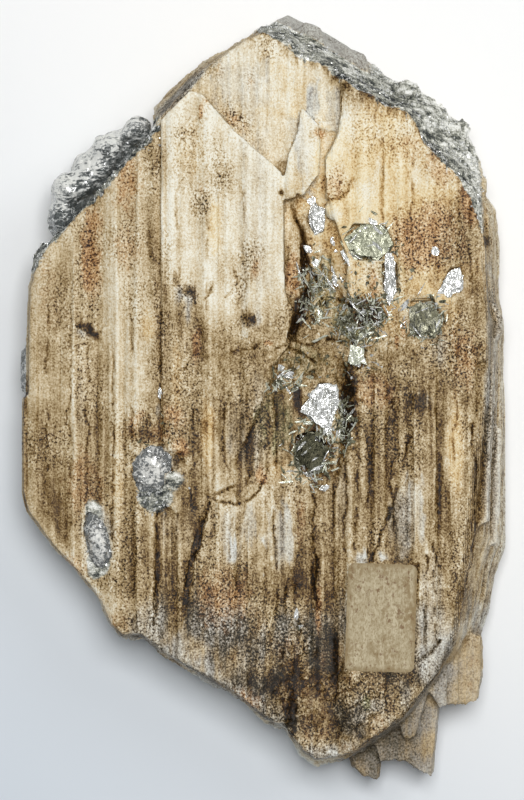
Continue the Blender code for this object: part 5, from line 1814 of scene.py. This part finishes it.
BOOKS = [
    (MicaBook("muscovite_book_centre", (
        (9.6, -3.3), (11.8, -5.4), (14.2, -6.8), (16.2, -7.0), (17.0, -3.8), (18.2, -1.3), (17.4, 2.1),
        (14.2, 2.8), (11.8, 0.4)), 34.2, 38.6, (4.0, 8.0), crumple=0.16), SILVER),
    (MicaBook("muscovite_book_lower", (
        (8.0, -17.0), (11.0, -19.5), (14.4, -18.0), (14.8, -11.5), (12.2, -9.0), (8.2, -10.0)),
        33.8, 37.6, (-4.0, 12.0), sheets=15, dip=52.0, strike=32.0, ragged=0.25), OLIVE),
    (MicaBook("muscovite_book_green", (
        (20.6, 38.0), (23.0, 34.6), (27.4, 34.0), (30.8, 35.8), (29.4, 40.6), (26.0, 42.6), (23.4, 40.4)),
        36.4, 39.5, (-3.0, 6.0), crumple=0.34, wave=0.3, ragged=0.5, tear=0.3), GREEN),
    (MicaBook("muscovite_blade_right", (
        (29.8, 33.0), (29.7, 27.0), (30.9, 22.6), (32.0, 26.4), (31.9, 32.8), (30.9, 35.0)),
        36.8, 40.2, (2.0, -8.0), crumple=0.2, ragged=0.3), SILVER),
    (MicaBook("muscovite_book_right", (
        (36.2, 20.4), (36.6, 17.2), (38.4, 15.0), (41.2, 15.0), (42.9, 17.4), (42.4, 20.4), (40.2, 22.0),
        (37.8, 21.8)), 37.2, 40.0, (-5.0, 4.0), crumple=0.3, ragged=0.45, tear=0.1), OLIVE),
    (MicaBook("muscovite_flake_right", (
        (43.2, 26.1), (45.6, 24.6), (48.2, 26.1), (48.4, 29.8), (47.9, 31.5), (46.0, 31.0), (44.3, 28.6)),
        37.6, 40.0, (-4.0, -5.0), crumple=0.24, ragged=0.3), SILVER),
    (MicaBook("muscovite_flake_small", (
        (21.2, 9.6), (22.4, 7.2), (24.6, 8.4), (24.0, 12.0), (21.8, 12.2)), 35.8, 38.4, (5.0, -6.0),
        crumple=0.26, ragged=0.4), PALE_GREEN),
    (MicaBook("muscovite_shard_upper", (
        (11.3, 43.2), (12.6, 40.2), (14.4, 41.0), (14.6, 46.2), (11.8, 47.0)),
        34.2, 37.4, (8.0, 8.0)), SILVER),
]

# flakes that catch the light: place, half width and half length, turn, dip and roll
SILVER_FLAKES = tuple(Flake((x, y), (a, b), turn, (dip, roll)) for x, y, a, b, turn, dip, roll in (
    (12, 48.2, 1.4, 1.1, 20, 8, 6), (13.6, 43.2, 0.9, 2.4, -14, 5, -8), (10.8, 36.4, 0.9, 1.6, 38, 10, 5),
    (12.6, 33, 1, 1.1, 10, -6, 8), (20.6, 33, 0.6, 3.4, 32, 6, 12), (17.6, 28.6, 0.9, 1.7, 15, 12, -6),
    (26.4, 43, 2, 0.7, -24, -14, 4), (28.2, 39.6, 0.9, 2, 12, 6, -10), (30.6, 34, 1, 1.6, 5, 4, 8),
    (42, 35.6, 1.2, 1.3, 30, 6, 6), (22.8, 10.2, 1.3, 2.8, 10, 4, -6), (15.6, -8.2, 1.6, 1.5, 25, 6, 4),
    (6.4, 5.4, 1.6, 1, 15, 14, 8), (4.2, 7, 1.2, 0.8, -30, 10, 12), (14.8, -22.4, 1.5, 0.8, 20, 6, 6),
    (10.8, -19.8, 2.6, 0.5, 24, 30, 4), (7.8, -53.6, 0.5, 1.7, -8, 5, 10), (-25.4, 0.8, 0.7, 1.8, 4, 8, 10),
    (19.8, 22.2, 1, 0.6, 40, 20, 10), (24.6, 21, 1.6, 0.5, 28, 24, 8), (28.4, 20, 0.5, 1.4, -12, 10, 16),
    (21.2, 16.6, 1.2, 0.7, -20, 12, 14), (16.8, 38, 0.7, 1.2, 30, 10, 10),
    (34.2, 22, 0.5, 2.2, -38, 12, 20),
))

# pale blades on edge that catch the light: where each starts and ends, and how wide it is
NEEDLES = tuple(Flake.between((a, b), (c, d), width) for a, b, c, d, width in (
    (35.3, 18.8, 39.2, 13.9, 0.45), (34.6, 17.6, 37.9, 13.6, 0.3), (39.7, 28.3, 37.5, 24.4, 0.3),
    (20.6, 37.4, 23, 40.1, 0.5), (23, 40.1, 25.6, 41.9, 0.4), (21.3, 16.6, 26, 17.3, 0.5),
    (26, 17.3, 28.7, 18.8, 0.4), (23.5, 13.9, 26, 16.1, 0.5), (20.4, 23.9, 24.8, 19.5, 0.4),
    (13.7, 31, 17.4, 26.1, 0.6), (29.2, 22.7, 30.9, 19.5, 0.4), (12, 49.7, 13.2, 46.5, 0.9),
    (9.8, 37.1, 11.5, 34.7, 0.8), (16.2, 33, 18.6, 27.3, 0.5), (8.1, -13.4, 10.5, -10.9, 0.8),
    (10.8, -16.3, 13.5, -14.8, 0.4), (8.6, -19.5, 15.4, -16.3, 0.5), (8.8, -14.6, 11.8, -12.4, 0.3),
    (12.4, -18.6, 15.6, -16, 0.4), (3.7, 5.6, 8.1, 4.5, 0.7), (5.1, 2.5, 6.6, 0.2, 0.6),
    (2.6, 4.2, 5.6, 6.6, 0.4), (17, 22, 21, 19.6, 0.4), (22.4, 22.4, 25.4, 24, 0.3),
    (26.2, 38.6, 29.2, 35.4, 0.9), (25.4, 43.2, 29.4, 39, 1), (21, 35.4, 24, 33.4, 0.4),
    (24.6, 36.4, 27.8, 37.6, 0.3), (37, 20.6, 40.4, 22, 0.3), (41.4, 15.6, 43.4, 19.4, 0.3),
    (18.2, 30.6, 20.2, 26.4, 0.4), (10.6, 31.4, 12.4, 28, 0.4), (8, 33.4, 9.4, 29, 0.5),
))

# the strewn mica: flakes and blades in the fracture, and glitter in the rind
SCATTERS = (
    (Scatter("mica_flakes", "flakes", 2.4e5, (0.5, 1.8), 50.0, ratio=(0.2, 0.7)), SILVER),
    (Scatter("mica_flakes_olive", "flakes", 4.2e5, (0.6, 2.2), 60.0, seed=8), OLIVE),
    (Scatter("mica_blades_bright", "blades", 2.6e5, (1.5, 4.0), 34.0, ratio=(0.06, 0.16), seed=13), SILVER),
    (Scatter("mica_blades", "blades", 9e5, (2.0, 5.0), 26.0, 0.04, (0.07, 0.2), seed=11), PALE_GREEN),
    (Scatter("mica_blades_dark", "blades", 5e5, (2.0, 5.0), 48.0, ratio=(0.1, 0.3), seed=12), OLIVE),
    (Scatter("rind_glitter", "glitter", 1.1e6, (0.35, 1.1), 45.0, 0.2, sides=5, seed=5), SILVER),
)


def main() -> None:
    """Builds every piece, from the crystal to the lights."""
    logging.basicConfig(level=logging.INFO, format="%(name)s %(message)s")
    skin = CrystalSkin(WeatheredSpodumene()).build()
    smoky, milky = SMOKY_QUARTZ.make(), MILKY_QUARTZ.make()
    QuartzPiece("quartz_crust", 3.0, 0.34, triangles=30000, closing=1.6, banded=True, sharp=16.0).build(smoky)
    for node in ("quartz_grain_left", "quartz_grain_lower", "quartz_sliver_edge"):
        QuartzPiece(node, 1.7, 0.55).build(milky)
    mica = {look.name: look.make() for look in (SILVER, PALE_GREEN, GREEN, OLIVE)}
    books = [book.build(mica[look.name]) for book, look in BOOKS]
    for scatter, look in SCATTERS:
        scatter.build(skin, mica[look.name])
    LooseFlakes("mica_shards", SILVER_FLAKES).build([skin], mica[SILVER.name])
    LooseFlakes("mica_needles", NEEDLES, sheets=2).build([skin, *books], mica[SILVER.name])
    PaperLabel(AgedPaper()).build()
    Studio().build()


if __name__ == "__main__":
    main()
